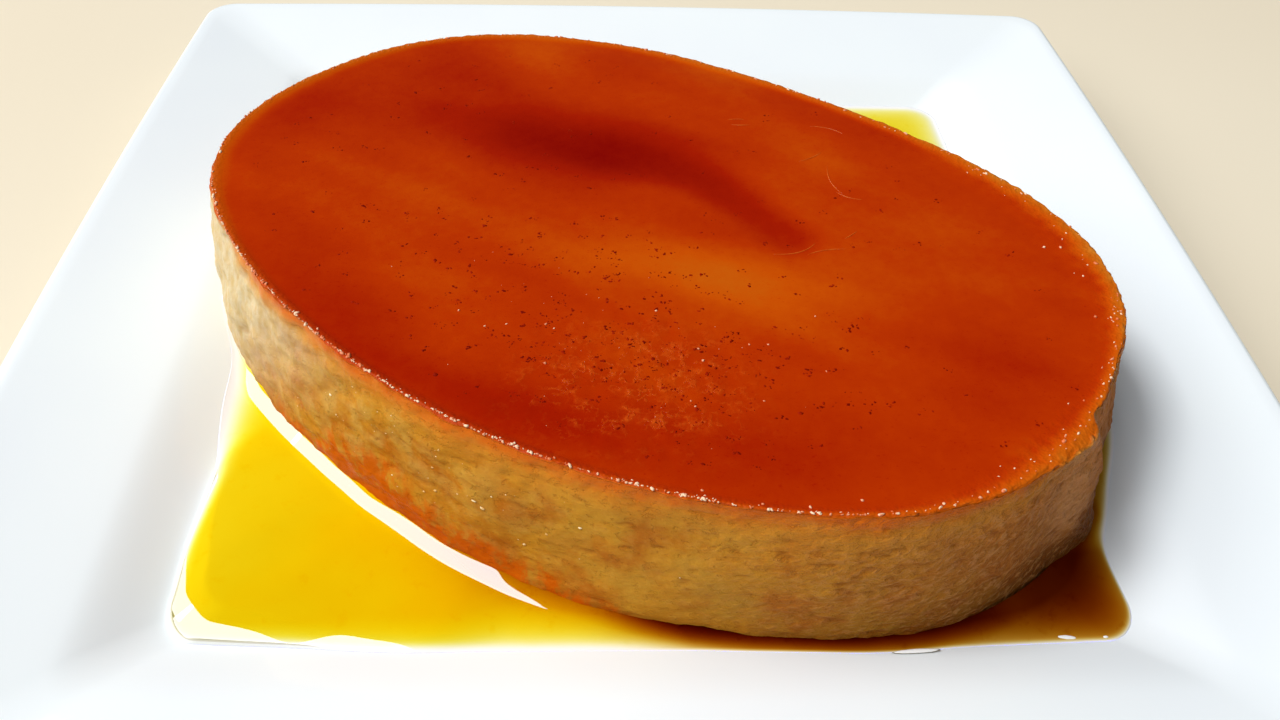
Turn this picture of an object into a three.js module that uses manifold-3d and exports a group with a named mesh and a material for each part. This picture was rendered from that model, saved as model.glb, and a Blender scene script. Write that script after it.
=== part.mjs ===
// Creme caramel flan on its square porcelain plate, with the caramel syrup pooled round it.
// Millimetres, +Z up. The origin is the centre of the plate's foot, on the table, and the
// plate's sides run along X and Y.
import * as THREE from "three";
import { mergeVertices } from "three/addons/utils/BufferGeometryUtils.js";
import Module from "manifold-3d";

const wasm = await Module();
wasm.setup();

const TOUCH = 0.3; // gap kept where two pieces rest on each other
const MERGE = 1e-4; // points closer than this are one point

// ---- the plate: a square with sides that bow out a little, a sunk floor and a sloping rim
const plate = {
  half: 116.7, // centre to a side, measured beside a corner
  bow: 2.15, // how far the middle of a side stands out
  corner: 7, // corner radius of the outer edge
  floorHalf: 67.6, // the flat floor ends here
  floorCorner: 4.5,
  wallHalf: 90, // the wall has turned into the rim here
  wallRise: 7, // height of the rim's inner edge over the floor
  rimSlope: 0.16, // rise of the rim for each millimetre outwards
  lip: 1.7, // radius of the rounded outer edge
  footHalf: 66, // outer edge of the foot's flat face
  footCorner: 12,
  footWidth: 4.5,
  footHeight: 7, // table to the plate's floor
  footFillet: { inside: 1, outside: 1.5, below: 0.6, end: 5 }, // where the foot meets the underside
  belly: 4.4, // thickness of the floor
  rimThickness: 3.6,
  rimSteps: [9, 18], // rings of the rim's upper face, in from the edge
  underStart: 14, // the underside climbs from this far outside the foot
  underEnd: 12, // to this far inside the edge
  middleRing: 0.6, // ring on the flat floor, as a share of its half width
};

// ---- the flan: a tapered oval, turned out of its mould, so the base is the wider end
const flan = {
  turn: THREE.MathUtils.degToRad(-29.6), // long axis against the plate's X axis
  centre: [-0.8, -8.8],
  top: [87.1, 58.3], // half length and half width of the upper edge
  base: [91.7, 61.7],
  height: 32.8, // over the plate's floor
  caramel: 2.6, // thickness of the caramel layer
  bulge: 0.7, // how far the side swells at mid height
  edge: 0.9, // radius of the rounded upper edge
  middleRing: 0.5, // ring on a flat end, as a share of its outline
};

// Unevenness of the two outlines: waves round the edge, their height as a percentage of the
// radius, and the angle of a crest from the long axis in degrees.
const topWaves = [
  [3, 0.7, 39],
  [4, 2.3, 37],
  [5, 0.8, -26],
  [6, 0.4, 28],
];
const baseWaves = [
  [3, 0.3, 17],
  [4, 0.6, 36],
  [5, 0.35, 21],
  [6, 0.9, -28],
];

// The caramel face is a shallow dish, with one longer dent where syrup stands deeper.
const dish = { depth: 0.9, dent: 0.7, at: [-6, 16], reach: [38, 8], turn: -0.04 };

// The syrup is cut from a slab.
const syrup = {
  level: 2.3, // its surface over the plate's floor
  reach: 88, // half width of the slab
  sunk: 1, // how far the slab reaches below the floor
  scrap: 60, // a loose corner with fewer cubic millimetres than this is dropped
  frontLine: -40, // a pool that reaches below this y lies in front of the flan
};

const AROUND = 112; // points round the flan
const SIDE_LEVELS = 8; // steps up its side
const EDGE_STEPS = 3; // round its upper edge
const FACE_RINGS = 9; // from the edge in to the middle of its face
const STRAIGHT_STEPS = 10; // along one side of the plate
const CORNER_STEPS = 6; // round one of its corners
const LIP_STEPS = 6; // round the outer edge
const WALL_STEPS = 9; // down the wall of the well
const UNDER_STEPS = 3; // along the underside of wall and rim

const mix = (a, b, t) => a + (b - a) * t;
const clamp01 = (t) => Math.min(1, Math.max(0, t));
const ease = (t) => t * t * (3 - 2 * t);

// A closed solid through rings of equally many points, with a point closing each end.
function loft(first, rings, last) {
  const points = [first, ...rings.flat(), last];
  const count = rings[0].length;
  const faces = [];
  for (let i = 0; i < count; i++) {
    const next = (i + 1) % count;
    faces.push(0, 1 + next, 1 + i);
    for (let r = 0; r + 1 < rings.length; r++) {
      const a = 1 + r * count;
      const b = a + count;
      faces.push(a + i, a + next, b + next, a + i, b + next, b + i);
    }
    const end = 1 + (rings.length - 1) * count;
    faces.push(end + i, end + next, points.length - 1);
  }
  return new THREE.BufferGeometry()
    .setAttribute("position", new THREE.Float32BufferAttribute(points.flat(), 3))
    .setIndex(faces);
}

// To a manifold-3d solid and back.
function toSolid(geometry) {
  const bare = geometry.clone();
  bare.deleteAttribute("normal");
  bare.deleteAttribute("uv");
  const merged = mergeVertices(bare, MERGE);
  return new wasm.Manifold(
    new wasm.Mesh({
      numProp: 3,
      vertProperties: merged.attributes.position.array,
      triVerts: new Uint32Array(merged.index.array),
    }),
  );
}

function toGeometry(solid) {
  const { vertProperties, triVerts } = solid.getMesh();
  return new THREE.BufferGeometry()
    .setAttribute("position", new THREE.BufferAttribute(vertProperties, 3))
    .setIndex(new THREE.BufferAttribute(triVerts, 1));
}

// ---- plate

// Height of the plate's upper face over its floor, at a given half width.
function plateRise(half) {
  const t = clamp01((half - plate.floorHalf) / (plate.wallHalf - plate.floorHalf));
  return ease(t) * (plate.wallRise + plate.rimSlope * (half - plate.wallHalf));
}

// One turn round the plate: a square of that half width, its corners rounded and its sides bowed.
function squareRing(half, z, corner = 0) {
  const out = clamp01((half - plate.floorHalf) / (plate.half - plate.floorHalf));
  const inside = Math.min(1, half / plate.floorHalf);
  const radius = corner || mix(plate.floorCorner, plate.corner, out) * inside;
  const bow = plate.bow * out;
  const straight = half - radius;
  const quarter = [];
  for (let i = 0; i <= STRAIGHT_STEPS; i++) {
    const along = mix(-1, 1, i / STRAIGHT_STEPS);
    quarter.push([half + bow * (1 - along * along), along * straight]);
  }
  for (let i = 1; i < CORNER_STEPS; i++) {
    const angle = ((i / CORNER_STEPS) * Math.PI) / 2;
    quarter.push([straight + radius * Math.cos(angle), straight + radius * Math.sin(angle)]);
  }
  const ring = [];
  for (let side = 0; side < 4; side++) {
    const c = Math.round(Math.cos((side * Math.PI) / 2));
    const s = Math.round(Math.sin((side * Math.PI) / 2));
    ring.push(...quarter.map(([x, y]) => [c * x - s * y, s * x + c * y, z]));
  }
  return ring;
}

// The upper face from the rim's edge in to the middle of the floor, as [half width, height].
function upperProfile() {
  const profile = plate.rimSteps.map((step) => [plate.half - step, plateRise(plate.half - step)]);
  for (let i = 0; i <= WALL_STEPS; i++) {
    const half = mix(plate.wallHalf, plate.floorHalf, i / WALL_STEPS);
    profile.push([half, plateRise(half)]);
  }
  profile.push([plate.floorHalf * plate.middleRing, 0]);
  return profile.map(([half, z]) => [half, plate.footHeight + z]);
}

// The plate turned from one profile: foot, underside, lip and upper face.
function plateSolid() {
  const floor = plate.footHeight;
  const under = floor - plate.belly;
  const rimEnd = plate.half - plate.lip;
  const lipMiddle = floor + plateRise(rimEnd) - plate.lip;
  const footIn = plate.footHalf - plate.footWidth;
  const inCorner = plate.footCorner - plate.footWidth;
  const fillet = plate.footFillet;
  const profile = [
    [footIn * plate.middleRing, under, inCorner],
    [footIn - fillet.inside, under, inCorner],
    [footIn, 0, inCorner],
    [plate.footHalf, 0, plate.footCorner],
    [plate.footHalf + fillet.outside, under - fillet.below, plate.footCorner],
    [plate.footHalf + fillet.end, under, plate.footCorner],
  ];
  for (let i = 0; i <= UNDER_STEPS; i++) {
    const share = i / UNDER_STEPS;
    const half = mix(plate.footHalf + plate.underStart, plate.half - plate.underEnd, share);
    const thickness = mix(plate.belly, plate.rimThickness, share);
    profile.push([half, floor + plateRise(half) - thickness]);
  }
  for (let i = 0; i <= LIP_STEPS; i++) {
    const angle = mix(-Math.PI / 2, Math.PI / 2, i / LIP_STEPS);
    profile.push([rimEnd + plate.lip * Math.cos(angle), lipMiddle + plate.lip * Math.sin(angle)]);
  }
  const rings = [...profile, ...upperProfile()].map((step) => squareRing(...step));
  return toSolid(loft([0, 0, under], rings, [0, 0, floor]));
}

// Everything below the plate's upper face and the small gap over it: what food can't fill.
function bedSolid() {
  const profile = upperProfile();
  const rings = profile.map(([half, z]) => squareRing(half, z + TOUCH));
  rings.unshift(squareRing(profile[0][0], 0));
  return toSolid(loft([0, 0, 0], rings, [0, 0, plate.footHeight + TOUCH]));
}

// ---- flan

// Place of a point given in the flan's own axes.
function placed(x, y, z) {
  const c = Math.cos(flan.turn);
  const s = Math.sin(flan.turn);
  return [flan.centre[0] + c * x - s * y, flan.centre[1] + s * x + c * y, plate.footHeight + z];
}

// Radius of a wavy outline at an angle, as a share of the plain oval's.
function wavy(waves, angle) {
  const lift = ([count, percent, crest]) =>
    (percent / 100) * Math.cos(count * (angle - THREE.MathUtils.degToRad(crest)));
  return waves.reduce((sum, wave) => sum + lift(wave), 1);
}

// Point of the flan's side at a height (0 base, 1 upper edge), pulled in by inset millimetres.
function sidePoint(angle, height, inset = 0) {
  const top = wavy(topWaves, angle);
  const base = wavy(baseWaves, angle);
  const swell = flan.bulge * Math.sin(Math.PI * clamp01(height));
  return [
    (mix(flan.base[0] * base, flan.top[0] * top, height) + swell - inset) * Math.cos(angle),
    (mix(flan.base[1] * base, flan.top[1] * top, height) + swell - inset) * Math.sin(angle),
  ];
}

// One turn round the flan, shrunk to a share of its outline, at the height that rise gives.
function flanRing(height, rise, share = 1, inset = 0) {
  return Array.from({ length: AROUND }, (_, i) => {
    const [x, y] = sidePoint((i / AROUND) * Math.PI * 2, height, inset);
    return placed(x * share, y * share, rise(x * share, y * share, share));
  });
}

// Height of the caramel face: a dish that is deepest in the middle, and the long dent.
function faceHeight(x, y, share) {
  const [cx, cy] = dish.at;
  const c = Math.cos(dish.turn);
  const s = Math.sin(dish.turn);
  const along = (c * (x - cx) + s * (y - cy)) / dish.reach[0];
  const across = (c * (y - cy) - s * (x - cx)) / dish.reach[1];
  const dent = dish.dent * Math.exp(-(along ** 4) - across ** 2);
  return flan.height - (dish.depth + dent) * (1 - share ** 6);
}

// The custard up to the caramel layer, its side pushed out by grow millimetres.
function custardSolid(grow = 0) {
  const upper = flan.height - flan.caramel;
  const rings = [flanRing(0, () => 0, flan.middleRing)];
  for (let i = 0; i <= SIDE_LEVELS; i++) {
    const height = mix(0, upper / flan.height, i / SIDE_LEVELS);
    rings.push(flanRing(height, () => height * flan.height, 1, -grow));
  }
  rings.push(flanRing(upper / flan.height, () => upper, flan.middleRing));
  return toSolid(loft(placed(0, 0, 0), rings, placed(0, 0, upper)));
}

// The layer soaked with caramel: flat below, with a rounded upper edge and a dished face.
function caramelGeometry() {
  const lower = flan.height - flan.caramel + TOUCH / 3;
  const middle = (flan.height - flan.edge) / flan.height;
  const rings = [
    flanRing(lower / flan.height, () => lower, flan.middleRing),
    flanRing(lower / flan.height, () => lower),
  ];
  for (let i = 0; i <= EDGE_STEPS; i++) {
    const angle = ((i / EDGE_STEPS) * Math.PI) / 2;
    const z = flan.height - flan.edge * (1 - Math.sin(angle));
    rings.push(flanRing(middle, () => z, 1, flan.edge * (1 - Math.cos(angle))));
  }
  for (let i = 1; i < FACE_RINGS; i++) {
    const share = Math.sin(((1 - i / FACE_RINGS) * Math.PI) / 2);
    rings.push(flanRing(1, faceHeight, share));
  }
  return loft(placed(0, 0, lower), rings, placed(0, 0, faceHeight(0, 0, 0)));
}

// ---- syrup: a slab up to the level, less the plate and the flan, which leaves three pools

function syrupPools(bed) {
  const top = plate.footHeight + syrup.level;
  const low = plate.footHeight - syrup.sunk;
  const slab = toSolid(
    loft([0, 0, low], [squareRing(syrup.reach, low), squareRing(syrup.reach, top)], [0, 0, top]),
  );
  const pools = slab.subtract(bed).subtract(custardSolid(TOUCH)).decompose();
  return pools.filter((pool) => pool.volume() > syrup.scrap);
}

// The pool's name tells where it lies: behind the flan, or in front of it to one side.
function poolName(pool) {
  const { min, max } = pool.boundingBox();
  if (max[1] > 0 && min[1] > syrup.frontLine) return "syrup_back";
  return min[0] + max[0] < 0 ? "syrup_front_left" : "syrup_front_right";
}

// ---- the group

function mesh(name, geometry, color, roughness) {
  const piece = new THREE.Mesh(
    geometry,
    new THREE.MeshStandardMaterial({ color, roughness, metalness: 0 }),
  );
  piece.name = name;
  return piece;
}

const bed = bedSolid();

const group = new THREE.Group();
group.add(mesh("plate", toGeometry(plateSolid()), 0xf4f7f8, 0.12));
group.add(mesh("custard", toGeometry(custardSolid().subtract(bed)), 0xc58a3e, 0.45));
group.add(mesh("caramel_layer", caramelGeometry(), 0xb03405, 0.1));
for (const pool of syrupPools(bed)) {
  group.add(mesh(poolName(pool), toGeometry(pool), 0xe8a800, 0.05));
}

export default group;
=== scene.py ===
import math

import bpy
import numpy as np
from mathutils import Matrix, Vector


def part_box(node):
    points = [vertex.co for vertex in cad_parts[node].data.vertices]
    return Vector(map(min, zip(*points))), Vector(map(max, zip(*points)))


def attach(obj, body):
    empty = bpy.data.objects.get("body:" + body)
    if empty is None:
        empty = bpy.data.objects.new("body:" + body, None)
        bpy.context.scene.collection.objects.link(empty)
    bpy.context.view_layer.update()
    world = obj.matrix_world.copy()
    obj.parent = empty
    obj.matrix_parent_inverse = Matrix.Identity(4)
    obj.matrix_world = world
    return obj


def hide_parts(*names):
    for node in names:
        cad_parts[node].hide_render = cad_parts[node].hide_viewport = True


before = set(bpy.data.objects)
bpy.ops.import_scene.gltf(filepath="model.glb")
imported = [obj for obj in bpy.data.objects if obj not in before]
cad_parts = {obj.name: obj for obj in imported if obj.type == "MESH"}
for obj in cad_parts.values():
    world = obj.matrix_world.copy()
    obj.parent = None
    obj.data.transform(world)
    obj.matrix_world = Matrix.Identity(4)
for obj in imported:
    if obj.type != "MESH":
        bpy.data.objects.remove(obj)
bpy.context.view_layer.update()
print("frame loaded")

mm = 0.001
tau = 2 * math.pi


# Curves and noise that every surface uses. Lengths are in millimetres until a mesh is made.

def ease(low, high, value):
    # Smooth step: with s running 0 to 1 from low to high, 3 s^2 - 2 s^3.
    s = np.clip((value - low) / (high - low), 0, 1)
    return s * s * (3 - 2 * s)


def hump(value, middle, reach):
    # Bell: e to the minus square of the distance from the middle over the reach.
    return np.exp(-(((value - middle) / reach) ** 2))


def span(value, rise, fall):
    # 1 from the end of the rise to the start of the fall, smooth at both.
    return ease(*rise, value) * (1 - ease(*fall, value))


def bumped(start, place, bumps, bell=hump):
    # The start plus, for each bump (middle, reach, amount), the amount times a bell there.
    for middle, reach, amount in bumps:
        start = start + amount * bell(place, middle, reach)
    return start


def between(a, b, t):
    # Straight from a to b as t runs 0 to 1.
    return a + (b - a) * t


def softNoise(rows, columns, tall, wide, seed):
    # White noise times a Gaussian in its Fourier transform, so it is blurred over tall by wide cells
    # and meets itself at its edges; scaled to a spread of 1.
    noise = np.random.default_rng(seed).standard_normal((rows, columns))
    up = np.fft.fftfreq(rows)[:, None]
    across = np.fft.rfftfreq(columns)[None, :]
    blur = np.exp(-2 * math.pi ** 2 * ((up * tall) ** 2 + (across * wide) ** 2))
    blurred = np.fft.irfft2(np.fft.rfft2(noise) * blur, s=(rows, columns))
    return (blurred - blurred.mean()) / blurred.std()


def readField(field, row, column):
    # Value of a repeating field between its cells: the four nearest, each weighted by closeness.
    r = np.floor(row).astype(int)
    c = np.floor(column).astype(int)
    fr = row - r
    fc = column - c
    rows, columns = field.shape
    r0, r1, c0, c1 = r % rows, (r + 1) % rows, c % columns, (c + 1) % columns
    low = field[r0, c0] * (1 - fc) + field[r0, c1] * fc
    high = field[r1, c0] * (1 - fc) + field[r1, c1] * fc
    return low * (1 - fr) + high * fr


# Meshes from grids of points.

def gridFaces(rows, columns):
    # Four-cornered faces of a grid whose rows are closed rings.
    start = np.arange(rows - 1)[:, None] * columns
    here = np.arange(columns)[None, :]
    after = (here + 1) % columns
    corners = [start + here, start + after, start + columns + after, start + columns + here]
    return np.stack(np.broadcast_arrays(*corners), -1).reshape(-1, 4)


def fanFaces(ring, centre):
    # Triangles from each edge of a ring to one point.
    return np.stack([ring, np.roll(ring, -1), np.full_like(ring, centre)], -1)


def closedGrid(grid, lowMiddle, highMiddle):
    # Faces and points of rings closed by a fan at each end.
    rows, around = grid.shape[:2]
    ring = np.arange(around)
    points = np.concatenate([grid.reshape(-1, 3), [lowMiddle, highMiddle]])
    last = ring + (rows - 1) * around
    fans = [fanFaces(ring[::-1], rows * around), fanFaces(last, rows * around + 1)]
    return points, [gridFaces(rows, around), *fans]


def repeated(faceSets, count, stride):
    # The faces of one small thing, for each of its copies.
    step = (np.arange(count) * stride)[:, None, None]
    return [(faces[None] + step).reshape(-1, faces.shape[1]) for faces in faceSets]


def addObject(name, data):
    # A mesh, a lamp or a camera, put into the scene.
    made = bpy.data.objects.new(name, data)
    bpy.context.collection.objects.link(made)
    return made


def makePiece(name, points, faceSets, nodes, attributes=None):
    # Points in millimetres; a face set is an array with one face in each row. The piece stands in
    # for the named solids.
    mesh = bpy.data.meshes.new(name)
    mesh.vertices.add(len(points))
    mesh.vertices.foreach_set("co", (np.asarray(points) * mm).astype(np.float32).ravel())
    corners = np.concatenate([faces.ravel() for faces in faceSets])
    sizes = np.concatenate([np.full(len(faces), faces.shape[1]) for faces in faceSets])
    starts = np.concatenate([[0], np.cumsum(sizes)[:-1]])
    mesh.loops.add(len(corners))
    mesh.loops.foreach_set("vertex_index", corners.astype(np.int32))
    mesh.polygons.add(len(starts))
    mesh.polygons.foreach_set("loop_start", starts.astype(np.int32))
    for key, values in (attributes or {}).items():
        layer = mesh.attributes.new(key, "FLOAT", "POINT")
        layer.data.foreach_set("value", np.asarray(values, np.float32).ravel())
    mesh.update(calc_edges=True)
    mesh.validate()
    mesh.shade_smooth()
    piece = addObject(name, mesh)
    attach(piece, "root")
    if nodes:
        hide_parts(*nodes)
    return piece


# Finishes: a Wire is a socket that can be used in sums, and a Finish is a material being built.

class Wire:
    def __init__(self, finish, socket):
        self.finish = finish
        self.socket = socket

    def maths(self, operation, *values):
        return self.finish.add("ShaderNodeMath", {"operation": operation}, dict(enumerate(values)))

    def __add__(self, other):
        return self.maths("ADD", self, other)

    def __sub__(self, other):
        return self.maths("SUBTRACT", self, other)

    def __rsub__(self, other):
        return self.maths("SUBTRACT", other, self)

    def __mul__(self, other):
        return self.maths("MULTIPLY", self, other)

    def __rpow__(self, other):
        return self.maths("POWER", other, self)

    def __abs__(self):
        return self.maths("ABSOLUTE", self)

    __radd__ = __add__
    __rmul__ = __mul__

    def ramp(self, low, high):
        # 0 below low, 1 above high, smooth between.
        sockets = {"Value": self, "From Min": low, "From Max": high}
        return self.finish.add("ShaderNodeMapRange", {"interpolation_type": "SMOOTHSTEP"}, sockets)


class Finish:
    def __init__(self, name, **surface):
        self.material = bpy.data.materials.new(name)
        self.material.use_nodes = True
        self.tree = self.material.node_tree
        self.shader = self.tree.nodes["Principled BSDF"]
        self.set(**{key.replace("_", " "): value for key, value in surface.items()})

    def add(self, kind, settings=None, sockets=None, out=0):
        # Any node: its settings come first, and then a value or a Wire for each socket.
        node = self.tree.nodes.new(kind)
        for key, value in (settings or {}).items():
            if key == "stops":
                self.setStops(node.color_ramp, value)
            else:
                setattr(node, key, value)
        for key, value in (sockets or {}).items():
            self.feed(node.inputs[key], value)
        return Wire(self, node.outputs[out])

    def feed(self, socket, value):
        if isinstance(value, Wire):
            self.tree.links.new(value.socket, socket)
        else:
            socket.default_value = value

    def set(self, **values):
        for key, value in values.items():
            self.feed(self.shader.inputs[key], value)

    def setStops(self, ramp, stops):
        while len(ramp.elements) < len(stops):
            ramp.elements.new(0.5)
        for element, (place, colour) in zip(ramp.elements, stops):
            element.position = place
            element.color = colour

    def attribute(self, name):
        return self.add("ShaderNodeAttribute", {"attribute_name": name}, out="Fac")

    def where(self):
        return self.add("ShaderNodeTexCoord", out="Object")

    def height(self):
        # Metres over the table.
        return self.add("ShaderNodeSeparateXYZ", {}, {0: self.where()}, out="Z")

    def noise(self, size, stretch=(1, 1, 1), detail=3.0, roughness=0.5, offset=(0, 0, 0), at=None):
        # Noise whose features are about size millimetres across.
        sockets = {"Vector": at or self.where(), "Scale": stretch, "Location": offset}
        moved = self.add("ShaderNodeMapping", {}, sockets)
        sockets = {"Vector": moved, "Scale": 1 / (size * mm), "Detail": detail, "Roughness": roughness}
        return self.add("ShaderNodeTexNoise", {"normalize": True}, sockets)

    def slanted(self, heading, slant):
        # Coordinates turned so that x runs up a slope of slant degrees on a wall whose level line
        # has that heading, in degrees from the plate's x axis.
        place = self.where()
        for turn in ((0, 0, -math.radians(heading)), (0, math.radians(slant), 0)):
            place = self.add("ShaderNodeMapping", {}, {"Vector": place, "Rotation": turn})
        return place

    def mix(self, share, first, second):
        # Colour that goes from first to second.
        sockets = {0: share, 6: first, 7: second}
        return self.add("ShaderNodeMix", {"data_type": "RGBA"}, sockets, out=2)

    def layered(self, colour, layers):
        # Each (share, colour) laid over those before it.
        for share, over in layers:
            colour = self.mix(share, colour, over)
        return colour

    def bump(self, height, distance, strength=1.0):
        # Relief of distance millimetres, as a normal.
        sockets = {"Height": height, "Distance": distance * mm, "Strength": strength}
        self.set(Normal=self.add("ShaderNodeBump", {}, sockets))


def paint(red, green, blue):
    # Screen colour 0 to 255 to the linear colour that nodes hold.
    share = np.array([red, green, blue]) / 255
    linear = np.where(share <= 0.04045, share / 12.92, ((share + 0.055) / 1.055) ** 2.4)
    return (*linear.tolist(), 1.0)


def twoTone(name, size, low, high, tones, **surface):
    # A plain finish that drifts between two tones over so many millimetres.
    finish = Finish(name, **surface)
    drift = finish.noise(size, detail=2).ramp(low, high)
    finish.set(**{"Base Color": finish.mix(drift, *tones)})
    return finish.material


# The plate's form: rings of a rounded square, from which its surface and the syrup's bed both come.

plateForm = {
    "bow": 2.15,  # how far the middle of a side stands out
    "corner": 7.0,  # corner radius at the outer edge
    "floorHalf": 67.6,  # half width of the flat floor
    "floorCorner": 4.5,
    "wallHalf": 90.0,  # here the wall has turned into the rim
    "wallRise": 7.0,
    "rimSlope": 0.16,  # rise over run
    "lip": 1.7,  # radius of the rounded outer edge
    "footHalf": 66.0,
    "footCorner": 12.0,
    "footWidth": 4.5,
    "footHeight": 7.0,
    "footRound": 0.8,
    "belly": 4.4,  # thickness inside the foot
    "rimThickness": 3.6,
}
plateForm["half"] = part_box("plate")[1][0] / mm - plateForm["bow"]


def plateRise(half):
    # Height over the floor: a smooth step up the wall times the rim's straight slope.
    form = plateForm
    slope = form["wallRise"] + form["rimSlope"] * (half - form["wallHalf"])
    return ease(form["floorHalf"], form["wallHalf"], half) * slope


def ringSizes(half):
    # Corner radius and bow of the ring with that half width.
    form = plateForm
    out = np.clip((half - form["floorHalf"]) / (form["half"] - form["floorHalf"]), 0, 1)
    corner = between(form["floorCorner"], form["corner"], out) * np.minimum(1, half / form["floorHalf"])
    return corner, form["bow"] * out


def halfAt(x, y):
    # Half width of the ring through a point: the larger coordinate less the bow there, and in a
    # corner the ring whose arc of radius r passes through it.
    far, near = np.maximum(abs(x), abs(y)), np.minimum(abs(x), abs(y))
    corner, bow = ringSizes(far)
    along = near / np.maximum(far - corner, 1)
    side = far - bow * np.clip(1 - along ** 2, 0, 1)
    inside = np.clip(2 * corner ** 2 - (far - near) ** 2, 0, None)
    arc = corner + (far + near - np.sqrt(inside)) / 2
    return np.where(near > far - corner, arc, side)


def plateHeight(x, y):
    # Height of the plate's upper face over the table.
    return plateForm["footHeight"] + plateRise(halfAt(x, y))


def ringShares(straightSteps, cornerSteps):
    # One turn round: how much of the straight half, of the radius and of the bow each point takes.
    along = np.linspace(-1, 1, straightSteps + 1)
    arc = np.linspace(0, math.pi / 2, cornerSteps + 1)[1:-1]
    none = np.zeros_like(along)
    straight = np.concatenate([np.stack([none + 1, along], 1), np.ones((len(arc), 2))])
    radius = np.concatenate([np.stack([none + 1, none], 1), np.stack([np.cos(arc), np.sin(arc)], 1)])
    bow = np.concatenate([np.stack([1 - along ** 2, none], 1), np.zeros((len(arc), 2))])
    turn = np.array([[0.0, 1.0], [-1.0, 0.0]])
    turns = [np.linalg.matrix_power(turn, side) for side in range(4)]
    return [np.concatenate([share @ t for t in turns]) for share in (straight, radius, bow)]


def squareRings(half, corner, bow, straightSteps, cornerSteps):
    # x and y of rings: (half - corner) times the straight share, plus corner and bow times theirs.
    straightShare, cornerShare, bowShare = ringShares(straightSteps, cornerSteps)
    half, corner, bow = (np.asarray(v, float)[:, None, None] for v in (half, corner, bow))
    return (half - corner) * straightShare + corner * cornerShare + bow * bowShare


def roundedLine(points, cut, steps):
    # A line of points with each inner corner cut by a curve: (1-t)^2 a + 2t(1-t) p + t^2 b, where
    # a and b lie cut millimetres from the corner p, or at most 0.45 of the way to its neighbour.
    points = np.asarray(points, float)
    t = np.linspace(0, 1, steps)[:, None]
    line = [points[:1]]
    for before, here, after in zip(points[:-2], points[1:-1], points[2:]):
        a, b = before - here, after - here
        a = a * min(0.45, cut / np.linalg.norm(a[:2]))
        b = b * min(0.45, cut / np.linalg.norm(b[:2]))
        line.append(here + (1 - t) ** 2 * a + t ** 2 * b)
    return np.concatenate(line + [points[-1:]])


plateLook = {
    "straightSteps": 44,
    "cornerSteps": 12,
    "wallSteps": 26,
    "rimSteps": 12,
    "lipSteps": 12,
    "underSteps": 14,
    "floorHalves": [50, 30, 12],  # half widths of the rings on the flat floor
    "glaze": paint(245, 251, 252),
    "coolGlaze": paint(241, 247, 250),
    "bareFoot": paint(226, 220, 208),
    "roughness": 0.07,
}


def platePorcelain():
    # A profile (half width, height, corner radius) carried round the rounded square.
    form, look = plateForm, plateLook
    floor = form["footHeight"]
    under = floor - form["belly"]
    footIn = form["footHalf"] - form["footWidth"]
    inCorner = form["footCorner"] - form["footWidth"]
    foot = roundedLine([
        (footIn * 0.5, under, inCorner),
        (footIn - 1.6, under, inCorner),
        (footIn, 0, inCorner),
        (form["footHalf"], 0, form["footCorner"]),
        (form["footHalf"] + 1.6, under - 0.6, form["footCorner"]),
        (form["footHalf"] + 5, under, form["footCorner"]),
    ], form["footRound"], 5)
    half = np.linspace(form["footHalf"] + 9, form["half"] - 6, look["underSteps"])
    thickness = np.linspace(form["belly"], form["rimThickness"], look["underSteps"])
    low = np.stack([half, floor + plateRise(half) - thickness, ringSizes(half)[0]], 1)
    rimEnd = form["half"] - form["lip"]
    turn = np.linspace(-math.pi / 2, math.pi / 2, look["lipSteps"])
    lip = np.stack([
        rimEnd + form["lip"] * np.cos(turn),
        floor + plateRise(rimEnd) + form["lip"] * (np.sin(turn) - 1),
        ringSizes(rimEnd + form["lip"] * np.cos(turn))[0],
    ], 1)
    half = np.concatenate([
        np.linspace(form["half"] - 4, form["wallHalf"] + 3, look["rimSteps"]),
        np.linspace(form["wallHalf"], form["floorHalf"] - 1, look["wallSteps"]),
        look["floorHalves"],
    ])
    high = np.stack([half, floor + plateRise(half), ringSizes(half)[0]], 1)
    profile = np.concatenate([foot, low, lip, high])
    bow = ringSizes(profile[:, 0])[1]
    rings = squareRings(profile[:, 0], profile[:, 2], bow, look["straightSteps"], look["cornerSteps"])
    rows, columns = rings.shape[:2]
    height = np.broadcast_to(profile[:, 1, None, None], (rows, columns, 1))
    points, faces = closedGrid(np.concatenate([rings, height], -1), (0, 0, under), (0, 0, floor))
    return makePiece("plate_porcelain", points, faces, ["plate"])


def glazeFinish():
    # White glaze with a slow change of tone, and a bare ring where the plate stands.
    look = plateLook
    finish = Finish("whiteGlaze", IOR=1.5, Specular_IOR_Level=0.3)
    tone = finish.noise(60, detail=2).ramp(0.35, 0.7)
    height = finish.height()
    bare = 1 - height.ramp(0.3 * mm, 0.9 * mm)
    grain = finish.noise(0.7, detail=4)
    glaze = finish.mix(tone, look["glaze"], look["coolGlaze"])
    finish.set(**{
        "Base Color": finish.mix(bare, glaze, look["bareFoot"]),
        "Roughness": look["roughness"] + tone * 0.04 + bare * 0.5,
    })
    finish.bump(grain * bare + finish.noise(9, detail=1) * 0.25, 0.06)
    return finish.material


plate = platePorcelain()
plate.data.materials.append(glazeFinish())
print("plate made")


# The flan's form: two uneven ovals, the lower one wider.

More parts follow.
